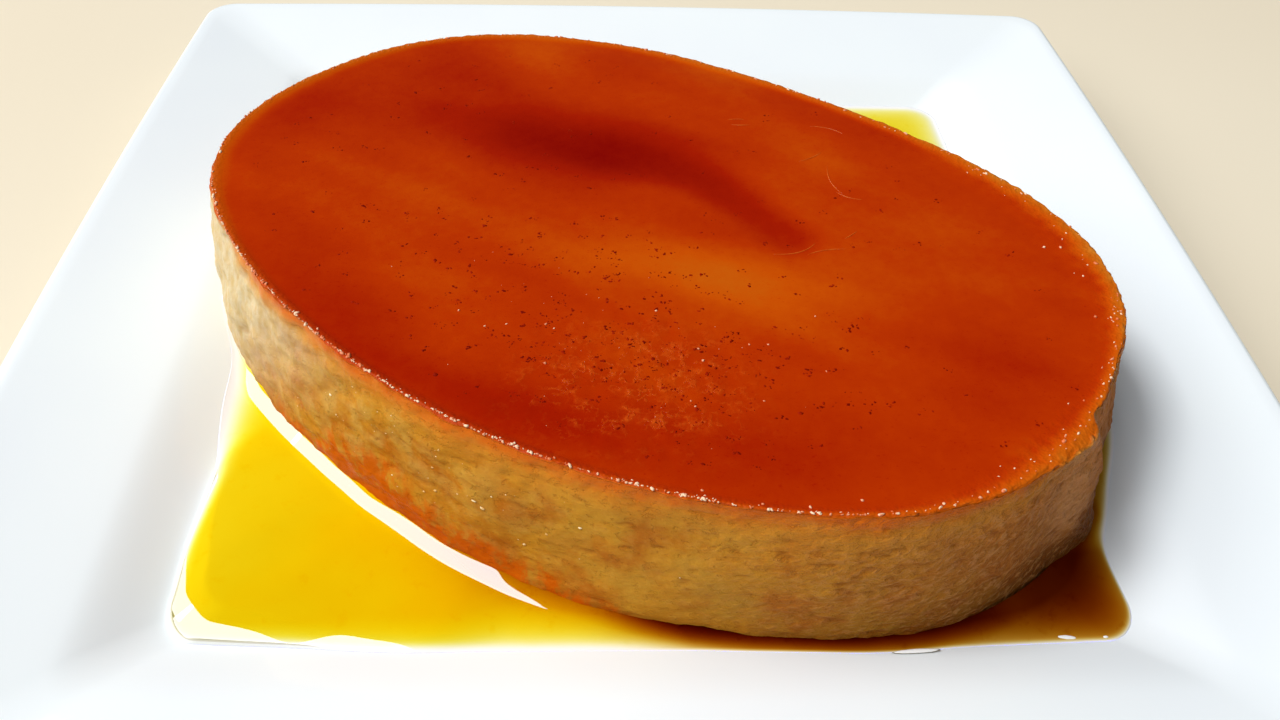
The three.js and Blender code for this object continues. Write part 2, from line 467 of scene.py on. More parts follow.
flanForm = {
    "turn": math.radians(-29.6),
    "centre": (-0.8, -8.8),
    "topHalf": (87.1, 58.3),  # half its length and half its width
    "baseHalf": (91.7, 61.7),
    "caramel": 2.6,  # thickness of the soaked layer
    "bulge": 0.7,
    "edge": 0.5,  # radius of the rounded upper edge
    "topWaves": [(3, 0.7, 39), (4, 2.3, 37), (5, 0.8, -26), (6, 0.4, 28)],
    "baseWaves": [(3, 0.3, 17), (4, 0.6, 36), (5, 0.35, 21), (6, 0.9, -28)],
    "around": 1200,  # points round the side
    "noiseCell": 0.25,  # millimetres of height in one row of the side's noise
    "noiseHeight": 36,  # millimetres that it covers
}
flanForm["height"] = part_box("caramel_layer")[1][2] / mm - plateForm["footHeight"]
flanAngle = np.linspace(0, tau, flanForm["around"], endpoint=False)
splitHeight = flanForm["height"] - flanForm["caramel"]


def facing(angle, middle, reach):
    # Bell of an angle round the flan; its middle and reach are in degrees. The right end of the
    # flan is at 0, its back at 90, its left end at 180 and its front at 270.
    away = (np.degrees(angle) - middle + 180) % 360 - 180
    return np.exp(-((away / reach) ** 2))


def wavy(waves, angle):
    # 1 plus a cosine for each (count round the edge, percent, angle of a crest in degrees).
    lifts = [percent / 100 * np.cos(n * (angle - math.radians(crest))) for n, percent, crest in waves]
    return 1 + sum(lifts)


def flanOutline(angle, height):
    # Point of the smooth side in the flan's own axes: the base oval goes over to the top oval in a
    # straight line, plus a swell of bulge times sin(pi * height / full height).
    form = flanForm
    share = height / form["height"]
    swell = form["bulge"] * np.sin(math.pi * np.clip(share, 0, 1))
    top, base = wavy(form["topWaves"], angle), wavy(form["baseWaves"], angle)
    long, short = (
        between(form["baseHalf"][k] * base, form["topHalf"][k] * top, share) + swell for k in (0, 1)
    )
    return long * np.cos(angle), short * np.sin(angle)


def outward(angle):
    # Unit normal of the top oval at an angle, in the flan's own axes.
    x = np.cos(angle) / flanForm["topHalf"][0]
    y = np.sin(angle) / flanForm["topHalf"][1]
    size = np.hypot(x, y)
    return x / size, y / size


def placed(x, y):
    # The flan's own axes to the plate's.
    c, s = math.cos(flanForm["turn"]), math.sin(flanForm["turn"])
    return flanForm["centre"][0] + c * x - s * y, flanForm["centre"][1] + s * x + c * y


custardLook = {
    "rows": 68,
    "bottomRings": 6,
    # the side's relief in millimetres
    "lumps": 0.26,
    "curds": 0.05,
    "moreCurds": 0.16,  # towards the left
    "wrinkles": 0.02,
    "moreWrinkles": 0.1,  # towards the right
    "grain": 0.04,
    "pores": 0.2,
    "crease": 1.9,
    "crumbs": 0.35,
    "turnedIn": 0.5,  # at the foot
    # its colours
    "baked": paint(206, 142, 38),
    "tan": paint(184, 106, 22),
    "olive": paint(200, 150, 52),
    "light": paint(214, 160, 70),
    "grey": paint(156, 94, 24),
    "cream": paint(222, 205, 166),
    "creamTan": paint(212, 182, 122),
    "curd": paint(204, 160, 76),
    "crevice": paint(188, 116, 20),
    "dash": paint(158, 82, 14),
    # the right end: painted light on its top, a brown that is partly painted shade, and painted shade at
    # its foot
    "paintedLightRightTop": paint(218, 132, 58),
    "rightBrownAndShade": paint(180, 104, 42),
    "paintedShadeRightFoot": paint(98, 44, 8),
    "fibre": paint(212, 146, 86),
    # painted light on the facet beside the crease
    "facet": paint(222, 156, 98),
    # painted shade in the pores
    "pore": paint(146, 72, 12),
    # darker at the foot: partly soaked, partly painted shade
    "foot": paint(134, 70, 12),
    "amber": paint(212, 142, 44),
    "soaked": paint(216, 98, 4),
    "stain": paint(208, 92, 0),
    # noises that both the colour and the fine relief use
    "fibreNoise": dict(size=1.7, stretch=(1, 1, 2.6), detail=3, roughness=0.6),
    "fibreSlant": (60, 38),  # heading and slant of the wall at the right, in degrees
    "pitNoise": dict(size=1.7, stretch=(1, 1, 1.5), detail=4, roughness=0.62, offset=(0.1, 0, 0)),
    # how far caramel soaks down the side, with bumps in degrees round the flan
    "soak": 1.7,
    "soakBumps": [(262, 50, 1.3), (322, 26, 2.2), (212, 24, -1.0), (166, 30, 0.9)],
    "dryCrust": (347, 11),  # where the edge is dry, and how far that reaches
    # where syrup is drawn up from the foot
    "stainRise": (232, 250),
    "stainFall": (260, 300),
    "stainHeight": 9.5,
}


def sideFields():
    # Relief of the whole side by row of height and angle, and where its pores are.
    look, around = custardLook, flanForm["around"]
    rows = int(flanForm["noiseHeight"] / flanForm["noiseCell"])
    row, column = np.meshgrid(np.arange(rows), np.arange(around), indexing="ij")
    right, left = facing(flanAngle, -8, 32), facing(flanAngle, 240, 30)
    lumps = softNoise(rows, around, 14, 13, 11)
    curds = softNoise(rows, around, 3.6, 3.2, 12)
    # wrinkles lean: each row of the noise is read a little further round
    wrinkles = readField(softNoise(rows, around, 1.5, 3.4, 13), row, column - 1.1 * row)
    grain = softNoise(rows, around, 1.2, 0.9, 14)
    poreNoise = softNoise(rows, around, 1.0, 2.3, 15) + 0.6 * softNoise(rows, around, 11, 18, 16)
    pores = ease(1.35, 2.2, poreNoise) * (1 - 0.6 * left)
    # one crease at the right end, leaning to the left: rises slowly, drops quickly
    lean = 8.5 * (1 - np.arange(rows) / rows) + 0.8 * np.sin(np.arange(rows) / 13)
    degrees = (np.degrees(flanAngle)[None, :] - lean[:, None] + 180) % 360 - 180
    crease = span(degrees, (-26, -13), (-12.5, -8.5))
    # crumbs along the foot, in front and to the right
    crumbs = np.clip(readField(curds, row * 1.6, column * 1.7), 0, 2) * facing(flanAngle, 312, 34)
    relief = look["lumps"] * lumps + (look["curds"] + look["moreCurds"] * left) * curds
    relief = relief + look["crumbs"] * crumbs * (1 - ease(1.5, 4.5, row * flanForm["noiseCell"]))
    relief = relief + (look["wrinkles"] + look["moreWrinkles"] * right) * wrinkles
    relief = relief + look["grain"] * grain - look["pores"] * pores + look["crease"] * crease
    return relief, pores


sideRelief, sidePores = sideFields()


def onSide(field, height):
    # The field's value at each height of a grid whose columns are the flan's angles.
    columns = np.broadcast_to(np.arange(flanForm["around"]), height.shape)
    return readField(field, height / flanForm["noiseCell"], columns)


def sideGrid(height):
    # Points of the side at a grid of heights: the outline pushed out along its normal by the relief.
    x, y = flanOutline(flanAngle[None, :], height)
    nx, ny = outward(flanAngle)
    push = onSide(sideRelief, height) - custardLook["turnedIn"] * np.exp(-height / 1.2)
    px, py = placed(x + nx * push, y + ny * push)
    return np.stack([px, py, plateForm["footHeight"] + height], -1)


def roundNoise(wide, seed):
    # One turn of noise, blurred over so many points of the side.
    return softNoise(4, flanForm["around"], 1, wide, seed)[0]


def soakAt(height):
    # Share of caramel in the side: e to the minus depth below the edge over a reach that wanders,
    # and less of it where the edge is dry crust.
    look = custardLook
    reach = bumped(look["soak"], flanAngle, look["soakBumps"], facing)
    reach = np.clip(reach + 0.4 * roundNoise(8, 21) + 0.35 * roundNoise(40, 22), 0.5, None)
    soak = np.exp(-(np.clip(flanForm["height"] - height, 0, None) / reach[None, :]) ** 1.2)
    return soak * (1 - 0.75 * facing(flanAngle, *look["dryCrust"])[None, :])


def stainAt(height):
    # Syrup drawn up from the foot: highest in front to the left, ragged above.
    look = custardLook
    along = span(np.degrees(flanAngle), look["stainRise"], look["stainFall"])
    ragged = 1.5 * roundNoise(5, 23) + 1.6 * roundNoise(20, 24)
    reach = np.clip(1.8 + look["stainHeight"] * along + ragged * (0.3 + along), 0.7, None)
    return (0.25 + 0.75 * along) * np.exp(-((np.clip(height - 2.6, 0, None) / reach) ** 2))


def footHeightRound():
    # Where the side meets the plate: the plate's height under the outline, found in three steps.
    height = np.zeros(flanForm["around"])
    for _ in range(3):
        x, y = placed(*flanOutline(flanAngle, height))
        height = plateHeight(x, y) - plateForm["footHeight"] + 0.1
    return height


footLine = footHeightRound()
regionNames = ("pale", "curdy", "right", "facet", "shaded")


def regionsAt(height):
    # Shares of the side's looks: a pale left end whose border leans, curds beside it, a brown right
    # end with painted shade, a facet next to the crease with painted light from above, and painted
    # shade on the side beyond the crease.
    degrees = np.degrees(flanAngle)[None, :]
    border = 226 + 0.7 * height
    pale = span(degrees, (165, 195), (border - 13, border + 13))
    right = ease(284, 345, degrees) + 1 - ease(20, 60, degrees)
    # where painted light lies on the facet beside the crease
    facet = facing(flanAngle, 343.5, 5)[None, :] * ease(11, 19, height) * (1 - 0.6 * ease(27, 32, height))
    curdy = facing(flanAngle, 254, 20)[None, :]
    # where painted shade lies on the side beyond the crease
    shaded = ease(345, 353, degrees) + 1 - ease(30, 60, degrees)
    shares = (pale, curdy, right, facet, shaded)
    return {name: share + 0 * height for name, share in zip(regionNames, shares)}


def discRings(ring, rings):
    # Rings inside a closed ring, from near the flan's middle out towards it.
    middle = np.array([*flanForm["centre"], 0])
    return middle + (ring - middle) * np.linspace(0.12, 0.97, rings)[:, None, None]


def custardBody():
    # The side from the plate up to the caramel layer, closed by rings that follow the plate below
    # and lie flat above.
    look, around = custardLook, flanForm["around"]
    climb = np.append(np.linspace(0, 0.998, look["rows"] - 1), 1)[:, None]
    height = between(footLine[None, :], splitHeight, climb)
    side = sideGrid(height)
    bottom = discRings(side[:1], look["bottomRings"])
    bottom[..., 2] = plateHeight(bottom[..., 0], bottom[..., 1]) + 0.1
    lid = discRings(side[-1:], look["bottomRings"])[::-1]
    lid[..., 2] = side[-1, 0, 2]
    ends = [(*flanForm["centre"], end) for end in (plateForm["footHeight"] + 0.1, side[-1, 0, 2])]
    points, faces = closedGrid(np.concatenate([bottom, side, lid]), *ends)
    before, after = len(bottom) * around, len(lid) * around + 2

    def padded(values):
        # none below or above the side
        return np.pad(np.broadcast_to(values, height.shape).ravel(), (before, after))

    attributes = {
        "soak": padded(soakAt(height)),
        "stain": padded(stainAt(height)),
        "pore": padded(onSide(sidePores, height)),
        **{key: padded(values) for key, values in regionsAt(height).items()},
    }
    return makePiece("custard_body", points, faces, ["custard"], attributes)


custard = custardBody()
print("custard made")


# The caramel layer: the top of the side, the rounded edge and the wet dished face.

caramelLook = {
    "dish": 0.28,  # the wet face lies this far below the edge
    "hollow": 0.4,  # and sags this much more towards the middle
    "edgeSteps": 8,
    "sideSteps": 6,
    "floorRings": 3,
    "faceRings": 62,
    # the face's noise: millimetres in a cell, number of cells across and along the flan, and for
    # each field how far it is blurred across and along, in millimetres, and its seed
    "cell": 0.5,
    "cells": (260, 400),
    "fields": {
        "swell": (14, 18, 31),
        "ripple": (3.5, 4.5, 32),
        "lump": (0.9, 1.1, 33),
        "curd": (1.3, 1.3, 34),
        "grain": (0.5, 0.5, 35),
        "cloud": (6, 9, 36),
        "wisp": (2.2, 6, 37),
    },
    # their heights in millimetres, and the dent under the trail
    "swell": 0.08,
    "ripple": 0.012,
    "lump": 0.07,
    "grain": 0.04,
    "curdHeight": 0.09,
    "trailDent": 0.45,
    # A trail of deep syrup: place along and across the flan, half width, amount.
    "trail": [
        (-50, 12, 8.5, 0.3),
        (-34, 13, 9.5, 0.72),
        (-17, 16, 8.4, 0.9),
        (-6, 18, 6.6, 0.78),
        (4, 18, 5.6, 0.62),
        (13, 14.8, 5.2, 0.48),
        (20, 11.5, 5.0, 0.44),
        (26, 9, 4.7, 0.44),
    ],
    # Deeper or thinner syrup: place, reach along and across, turn, amount.
    "pools": [
        ((-64, 24), (13, 13), 0.5, 0.32),
        ((-78, -2), (9, 12), 0, 0.34),
        ((-62, 8), (12, 8), 0, 0.12),
        ((-52, 44), (12, 8), -0.4, -0.25),
        ((-12, 55), (14, 5), 0, -0.2),
        ((-14, 27), (24, 5), 0.05, 0.33),
        ((-16, 3), (26, 6), 0, 0.14),
        ((10, -9), (24, 8), 0.1, -0.34),
        ((28, -8), (16, 14), 0, -0.22),
        ((-34, -18), (26, 10), 0, -0.12),
        ((24, 33), (14, 7), 0, -0.08),
        ((-38, -46), (22, 8), -0.2, 0.42),
        ((0, -53), (20, 6), 0.1, 0.44),
        ((40, -40), (24, 9), 0.4, 0.4),
        ((66, -20), (10, 14), 0, 0.26),
        ((86, -12), (5, 14), 0, 0.1),
    ],
    "patch": ((19, -37), (19, 14), 0.45),  # where the custard below is curdled
    "stops": [
        (0.0, paint(202, 122, 34)),
        (0.16, paint(196, 94, 10)),
        (0.32, paint(197, 77, 2)),
        (0.5, paint(180, 49, 0)),
        (0.7, paint(159, 25, 0)),
        (1.0, paint(128, 5, 0)),
    ],
    "curd": paint(208, 84, 18),
    "gap": paint(150, 20, 0),
    # round the flan: width of the rim's slope, how grainy it is, and how deep the syrup on it
    "rim": 0.4,
    "rimBumps": [(192, 40, 2.2), (100, 50, 1.0), (36, 28, 2.2), (-20, 15, 1.6)],
    "grainBumps": [(36, 28, 1.0), (-20, 15, 0.8)],
    "rimDepth": 0.2,
    "rimDepthBumps": [(262, 55, 0.55), (340, 24, 0.16)],
}


def spot(x, y, place, reach, turn):
    # Bell on an oval: e to the minus square of the distance, turned and divided by the two reaches.
    c, s = math.cos(turn), math.sin(turn)
    dx, dy = x - place[0], y - place[1]
    return np.exp(-(((c * dx + s * dy) / reach[0]) ** 2) - ((c * dy - s * dx) / reach[1]) ** 2)


def trailAt(x, y):
    # Along each straight piece the nearest point gives the half width and the amount; the depth is
    # the amount times e to the minus distance over half width, to the power 2.6; the largest wins.
    deepest = np.zeros_like(x)
    trail = caramelLook["trail"]
    for (ax, ay, aw, aa), (bx, by, bw, ba) in zip(trail[:-1], trail[1:]):
        dx, dy = bx - ax, by - ay
        t = np.clip(((x - ax) * dx + (y - ay) * dy) / (dx * dx + dy * dy), 0, 1)
        away = np.hypot(x - ax - t * dx, y - ay - t * dy) / between(aw, bw, t)
        deepest = np.maximum(deepest, between(aa, ba, t) * np.exp(-(away ** 2.6)))
    return deepest


def faceField(tall, wide, seed):
    # One field of the wet face's noise, blurred over so many millimetres.
    cell = caramelLook["cell"]
    return softNoise(*caramelLook["cells"], tall / cell, wide / cell, seed)


faceFields = {name: faceField(*form) for name, form in caramelLook["fields"].items()}


def onFace(name, x, y):
    # The named field's value at a place; its middle lies on the flan's.
    cell, (rows, columns) = caramelLook["cell"], caramelLook["cells"]
    return readField(faceFields[name], y / cell + rows / 2, x / cell + columns / 2)


def rimShares(angle):
    # Width of the edge's slope down to the wet face, and how grainy it is.
    look = caramelLook
    width = bumped(look["rim"], angle, look["rimBumps"], facing)
    return width, bumped(0, angle, look["grainBumps"], facing)


def faceHeight(x, y, inset, angle):
    # Height of the face over the plate's floor: the edge, a slope down to the wet face, a sag to
    # the middle, slow swells, the dent under the trail, and lumps in the patch and at the rim.
    look = caramelLook
    width, grainy = rimShares(angle)
    down = look["dish"] * ease(0.3, 1.5 + width, inset)
    sag = look["hollow"] * ease(0, 60, inset)
    inner = ease(2, 9, inset)
    slow, small = (
        sum(look[name] * onFace(name, x, y) for name in names)
        for names in (("swell", "ripple"), ("lump", "grain"))
    )
    curds = spot(x, y, *look["patch"]) * look["curdHeight"] * np.abs(onFace("curd", x, y))
    rough = (1 - ease(0.6, 2.5 + 3 * grainy, inset)) * (0.25 + 0.4 * grainy)
    height = flanForm["height"] - down - sag + inner * (slow - look["trailDent"] * trailAt(x, y))
    return height + curds + rough * small


def syrupDepth(x, y, inset, angle):
    # Syrup over the custard, 0 to 2: 1 on most of the face, less at the edge, more in the pools.
    look = caramelLook
    width, grainy = rimShares(angle)
    depth = 1.0 + sum(amount * spot(x, y, *form) for *form, amount in look["pools"])
    depth = depth + trailAt(x, y) + 0.05 * onFace("cloud", x, y) + 0.04 * onFace("wisp", x, y)
    atEdge = bumped(look["rimDepth"], angle, look["rimDepthBumps"], facing)
    edge = ease(-0.4, 0.9 + 1.5 * width, inset)
    thin = (1 - ease(1, 10, inset)) * grainy * (0.1 + 0.07 * onFace("grain", x, y))
    return np.clip(between(atEdge, depth, edge) - thin, 0.03, 2)


def caramelTop():
    # Rows of one grid: up the side, round the edge by a quarter circle, then rings shrinking to
    # the middle, closer together near the edge. The last ring is closed at an inset of 60.
    look, form = caramelLook, flanForm
    around, full, radius = form["around"], form["height"], form["edge"]
    sideHeight = np.append(splitHeight, np.linspace(splitHeight + 0.06, full - radius, look["sideSteps"]))
    sideHeight = sideHeight[:, None] * np.ones(around)
    side = sideGrid(sideHeight)
    x, y = flanOutline(flanAngle, full - radius)
    nx, ny = outward(flanAngle)
    relief = onSide(sideRelief, sideHeight[-1:])[0]
    quarter = np.linspace(0, math.pi / 2, look["edgeSteps"] + 1)[1:, None]
    ragged = 0.06 + 0.025 * rimShares(flanAngle)[1]
    bead = softNoise(16, around, 1.1, 1.3, 41)[:len(quarter)] * ragged * np.sin(2 * quarter)
    push = relief * np.cos(quarter) - radius * (1 - np.cos(quarter)) + bead
    edgeX, edgeY = x + nx * push, y + ny * push
    edgeLift = faceHeight(edgeX[-1], edgeY[-1], np.full(around, radius), flanAngle) - full
    edgeZ = full - radius + (radius + bead) * np.sin(quarter) + edgeLift * np.sin(quarter) ** 4
    share = 1 - np.linspace(0, 1, look["faceRings"] + 2)[1:-1, None] ** 1.5
    faceX, faceY = edgeX[-1] * share, edgeY[-1] * share
    # the way in from the edge along the normal
    inset = radius + abs(edgeX[-1] * nx + edgeY[-1] * ny) * (1 - share)
    angle = np.broadcast_to(flanAngle, inset.shape)
    upperX, upperY = np.concatenate([edgeX, faceX]), np.concatenate([edgeY, faceY])
    upperZ = np.concatenate([edgeZ, faceHeight(faceX, faceY, inset, angle)])
    face = np.stack([*placed(upperX, upperY), plateForm["footHeight"] + upperZ], -1)
    floorRings = discRings(side[:1], look["floorRings"])
    floorRings[..., 2] = side[0, 0, 2]
    centre = faceHeight(np.zeros(1), np.zeros(1), np.full(1, 60.0), np.zeros(1))[0]
    ends = [(*form["centre"], end) for end in (side[0, 0, 2], plateForm["footHeight"] + centre)]
    points, faces = closedGrid(np.concatenate([floorRings, side, face]), *ends)

    below = np.zeros((look["floorRings"], around))
    none = np.zeros_like(sideHeight)
    depth = syrupDepth(faceX, faceY, inset, angle)
    edgeDepth = syrupDepth(edgeX, edgeY, radius * np.sin(quarter) - 0.2, flanAngle[None, :])
    wetEdge = ease(0.1, 0.75, quarter - 0.25 * bead / ragged) * np.ones(around)
    wet = np.concatenate([wetEdge, np.ones_like(depth)])
    rimBump = np.concatenate([np.ones_like(bead), 1 - ease(0.8, 2.2 + 6 * rimShares(angle)[1], inset)])
    patch = np.concatenate([bead * 0, spot(faceX, faceY, *look["patch"])])

    def stacked(low, sides, top, last):
        return np.append(np.concatenate([low, sides, top]).ravel(), (0, last))

    attributes = {
        "depth": stacked(below, none, np.concatenate([edgeDepth, depth]), 1),
        "wet": stacked(below, none, wet, 1),
        "soak": stacked(below + 1, soakAt(sideHeight), wet * 0 + soakAt(full), 1),
        "pore": stacked(below, onSide(sidePores, sideHeight), wet * 0, 0),
        "rimBump": stacked(below, none, rimBump, 0),
        "patch": stacked(below, none, patch, 0),
        **{
            key: stacked(below, values, wet * 0 + values[-1], 0)
            for key, values in regionsAt(sideHeight).items()
        },
    }
    return makePiece("caramel_top", points, faces, ["caramel_layer"], attributes)


caramel = caramelTop()
print("caramel made")


# Finish of the custard's side, shared by the top of the side in the caramel layer.

def custardColour(finish):
    # Clouds of two tones, softly mottled; curds to the left and an upright cream grain at the left
    # end; flat dashes in front; leaning fibres to the right, over a brown with painted shade that
    # deepens to the foot and further up beyond the crease, and painted light on its top; a facet by
    # the crease with painted light, painted shade in the pores, and darker at the foot, partly soaked
    # and partly painted shade.
    look = custardLook
    pale, curdy, right, facet, shaded = (finish.attribute(name) for name in regionNames)
    height = finish.height()
    cloud = finish.noise(9, detail=4, roughness=0.6).ramp(0.36, 0.64)
    patches = finish.noise(7, stretch=(1, 1, 1.3), detail=3, offset=(0, 0.2, 0)).ramp(0.46, 0.64)
    mottle = finish.noise(2.8, stretch=(1, 1, 1.2), detail=4, roughness=0.6)
    dashes = finish.noise(**look["pitNoise"]).ramp(0.55, 0.7)
    dashes = dashes * (height.ramp(19 * mm, 32 * mm) * 0.8 + 0.2)
    lump = finish.noise(4.6, detail=2, roughness=0.5, offset=(0, 0.3, 0))
    upright = finish.noise(1.8, stretch=(1, 1, 0.55), detail=4, roughness=0.6)
    grain = finish.noise(0.65, stretch=(1, 1, 1.4), detail=3, roughness=0.7)
    fibre = finish.noise(**look["fibreNoise"], at=finish.slanted(*look["fibreSlant"]))
    ragged = height + finish.noise(4, detail=4, roughness=0.6) * 6 * mm
    # painted shade at the right end, deepening to the foot and rising further up beyond the crease, with
    # painted light on top
    risen = ragged - shaded * 11 * mm
    brownAndShade = finish.mix(risen.ramp(14 * mm, 28 * mm), look["paintedShadeRightFoot"], look["rightBrownAndShade"])
    brownAndShade = finish.mix(height.ramp(27 * mm, 38 * mm), brownAndShade, look["paintedLightRightTop"])
    cream = finish.mix(upright.ramp(0.3, 0.75), look["cream"], look["creamTan"])
    soak = finish.attribute("soak") * (0.4 + mottle * 1.2)
    return finish.layered(finish.mix(cloud, look["baked"], look["tan"]), [
        (patches * 0.4, look["olive"]),
        (mottle.ramp(0.5, 0.72) * 0.24, look["light"]),
        ((1 - mottle.ramp(0.3, 0.47)) * 0.1, look["grey"]),
        (lump.ramp(0.44, 0.62) * curdy * 0.55, look["curd"]),
        ((1 - lump.ramp(0.34, 0.5)) * curdy * 0.26, look["crevice"]),
        # the right end's brown, partly painted shade
        (right * 0.88, brownAndShade),
        (pale * 0.94, cream),
        (dashes * (1 - pale) * (1 - curdy * 0.85) * 0.42, look["dash"]),
        (fibre.ramp(0.5, 0.62) * right * (1 - shaded * 0.6) * 0.66, look["fibre"]),
        ((1 - fibre.ramp(0.36, 0.47)) * right * 0.55, look["dash"]),
        # painted light on the facet beside the crease
        (facet * 0.65, look["facet"]),
        # darker towards the foot, partly soaked and partly painted shade
        ((1 - ragged.ramp(12.5 * mm, 17.5 * mm)) * 0.5 * (1 - pale), look["foot"]),
        ((1 - grain.ramp(0.36, 0.52)) * 0.12 * (1 - pale), look["grey"]),
        (grain.ramp(0.54, 0.66) * 0.14, look["light"]),
        # painted shade in the pores that the relief digs in
        (finish.attribute("pore") * 0.45, look["pore"]),
        (soak.ramp(0.02, 0.4) * 0.75, look["amber"]),
        (soak.ramp(0.14, 0.95) * 0.9, look["soaked"]),
    ])


def custardRelief(finish):
    # Height of the fine relief: curds to the left, fibres to the right, grain everywhere.
    look = custardLook
    pale, curdy, right = (finish.attribute(name) for name in regionNames[:3])
    curd = finish.noise(4.6, detail=3, roughness=0.5, offset=(0, 0.3, 0))
    fibre = finish.noise(**look["fibreNoise"], at=finish.slanted(*look["fibreSlant"]))
    pits = finish.noise(**look["pitNoise"]).ramp(0.56, 0.64) * (1 - pale) * 0.15
    grain = finish.noise(0.65, stretch=(1, 1, 1.4), detail=4, roughness=0.65)
    return curd * (curdy * 0.75 + 0.25) + fibre * right * 2.6 - pits + grain * (right * 0.25 + 0.16)


def custardFinish():
    # The side's colour with syrup drawn up into it from the foot, and moist in patches.
    look = custardLook
    finish = Finish("bakedCustard", IOR=1.4)
    colour = custardColour(finish)
    streak = finish.noise(2.6, stretch=(1, 1, 0.6), detail=5, roughness=0.62)
    drawn = (finish.attribute("stain") * (streak.ramp(0.3, 0.66) * 1.1 + 0.42)).ramp(0.14, 0.7)
    moist = finish.noise(3.5, detail=2).ramp(0.4, 0.6) * (0.3 + finish.attribute("curdy") * 0.7)
    finish.set(**{
        "Base Color": finish.mix(drawn * 0.9, colour, look["stain"]),
        "Roughness": 0.6 - moist * 0.2,
        "Specular IOR Level": 0.08,
        "Subsurface Weight": 0.12,
        "Subsurface Radius": (1.0, 0.45, 0.16),
        "Subsurface Scale": 0.8 * mm,
    })
    finish.bump(custardRelief(finish), 0.62)
    return finish.material


def caramelFinish():
    # Colour by the depth of syrup, with curds showing through in the patch; wet gloss on the face.
    look = caramelLook
    finish = Finish("wetCaramel", IOR=1.42)
    wet, patch, rimBump = (finish.attribute(name) for name in ("wet", "patch", "rimBump"))
    cloud = finish.noise(2.4, detail=4, roughness=0.6) - 0.5
    dash = finish.noise(0.8, stretch=(1, 1.8, 1), detail=3, roughness=0.65).ramp(0.6, 0.74)
    deeper = finish.attribute("depth") + cloud * 0.26 + dash * 0.22
    under = finish.add("ShaderNodeValToRGB", {"stops": look["stops"]}, {"Fac": deeper * 0.5})
    curl = finish.noise(2.6, detail=4, roughness=0.62) - 0.5
    line = 1 - abs(curl).ramp(0.006, 0.05)
    blot = finish.noise(2.4, detail=4, roughness=0.65, offset=(0.3, 0, 0)).ramp(0.5, 0.64)
    gate = finish.noise(5, detail=3, offset=(0, 0.4, 0)).ramp(0.38, 0.54)
    broken = finish.noise(1.7, detail=2, offset=(0, 0, 0.3)).ramp(0.42, 0.58)
    shown = patch.ramp(0.05, 0.85) * gate
    curds = shown * (line * 0.5 + blot * 0.4) * (0.25 + broken * 0.75)
    under = finish.layered(under, [(shown * (1 - blot) * 0.2, look["gap"]), (curds * 0.9, look["curd"])])
    finish.set(**{
        "Base Color": finish.mix(wet, custardColour(finish), under),
        "Roughness": 0.5 - wet * (1 - rimBump * 0.8) * 0.38,
        "Specular IOR Level": 0.14,
        "Coat Weight": rimBump * wet * 0.04,
        "Coat Roughness": 0.1,
    })
    bead = finish.noise(0.75, detail=1)
    dry = 1 - wet
    finish.bump(custardRelief(finish) * dry + bead * rimBump * 0.4 + curds * 0.15, 0.6)
    return finish.material


custard.data.materials.append(custardFinish())
caramel.data.materials.append(caramelFinish())
print("flan finished")


# Syrup: one sheet round the flan's foot that fills the well and thins out on its wall.
# Bumps are in degrees round the plate: 0 at its right, 90 at its back, 180 at its left, 270 in front.

syrupForm = {
    "level": 2.9,  # over the plate's floor
    "climb": 1.55,  # how far it climbs the custard
    "climbWidth": 3.7,  # on a slope of this width, narrower where there is only a film
    "filmClimbWidth": 1.1,
    "around": 1440,
    "nearRows": 18,
    "middleRows": 12,
    "farRows": 18,
    "beneath": 6,
    # the film where the flan stands on the wall: its width past the foot, and its depth
    "filmWidth": 1.0,
    "filmWidthBumps": [(325, 8, 1.2), (341, 7, 1.9), (295, 7, 0.7), (307, 7, 0.6)],
    "filmDepth": 0.35,
    "filmDepthBumps": [(328, 16, 1.0)],
    "filmBlend": 0.12,  # rounds the meeting of the film and the level
    "slopeBlend": 0.2,  # and of both slopes with it
    # the outer edge, against the line where the wall passes the level
    "edgeBumps": [(210, 8, -2.6), (224, 6, -2.0), (316, 8, -0.9), (329, 6, 1.4), (322, 4, -1.5)],
    "edgeBlend": 1.2,  # rounds the meeting of that line with the film's edge
    "edgeWidth": 1.2,  # over which the surface comes down to the plate
    "edgeWidthBumps": [(195, 13, 4.5), (310, 24, -0.5)],
    # the left pool stands on a plump edge from rise to fall
    "plumpRise": (204, 212),
    "plumpFall": (245, 254),
    "plumpEdgeWidth": 0.25,
    "plump": 2.8,  # width of its slope
    "plumpBumps": [(225, 8, 4.4)],
    "steepness": 0.3,  # its fall over its run
    # where that slope gleams: degrees round the plate, millimetres in from the edge
    "gleam": [
        (208.8, -0.6), (210, 1.7), (212.2, 2.1), (213.8, 0.75), (217.5, 0.6), (219.6, 1.3), (222.6, 3.2),
        (225, 5.0), (227.2, 3.5), (230, 3.2), (231.6, 2.5), (234.2, 0.7), (235.1, -0.2), (235.8, 2.4),
        (237, 3.3), (239.2, 2.2), (244.4, 1.2), (245.4, -0.6),
    ],
    # where the slope at the custard gleams: degrees round the flan, from and to in millimetres
    "band": [
        (228, 1.0, 0.8), (229.5, 0.5, 1.7), (231, 0.5, 2.4), (233, 0.75, 3.1), (262, 0.85, 3.3),
        (274.4, 0.95, 3.45), (275.2, 2.1, 3.5), (276.6, 2.7, 3.5), (279.5, 3.4, 3.45), (281, 3.7, 3.3),
    ],
    "gleamInset": 0.4,  # the gleam keeps this far inside the syrup's edge
}

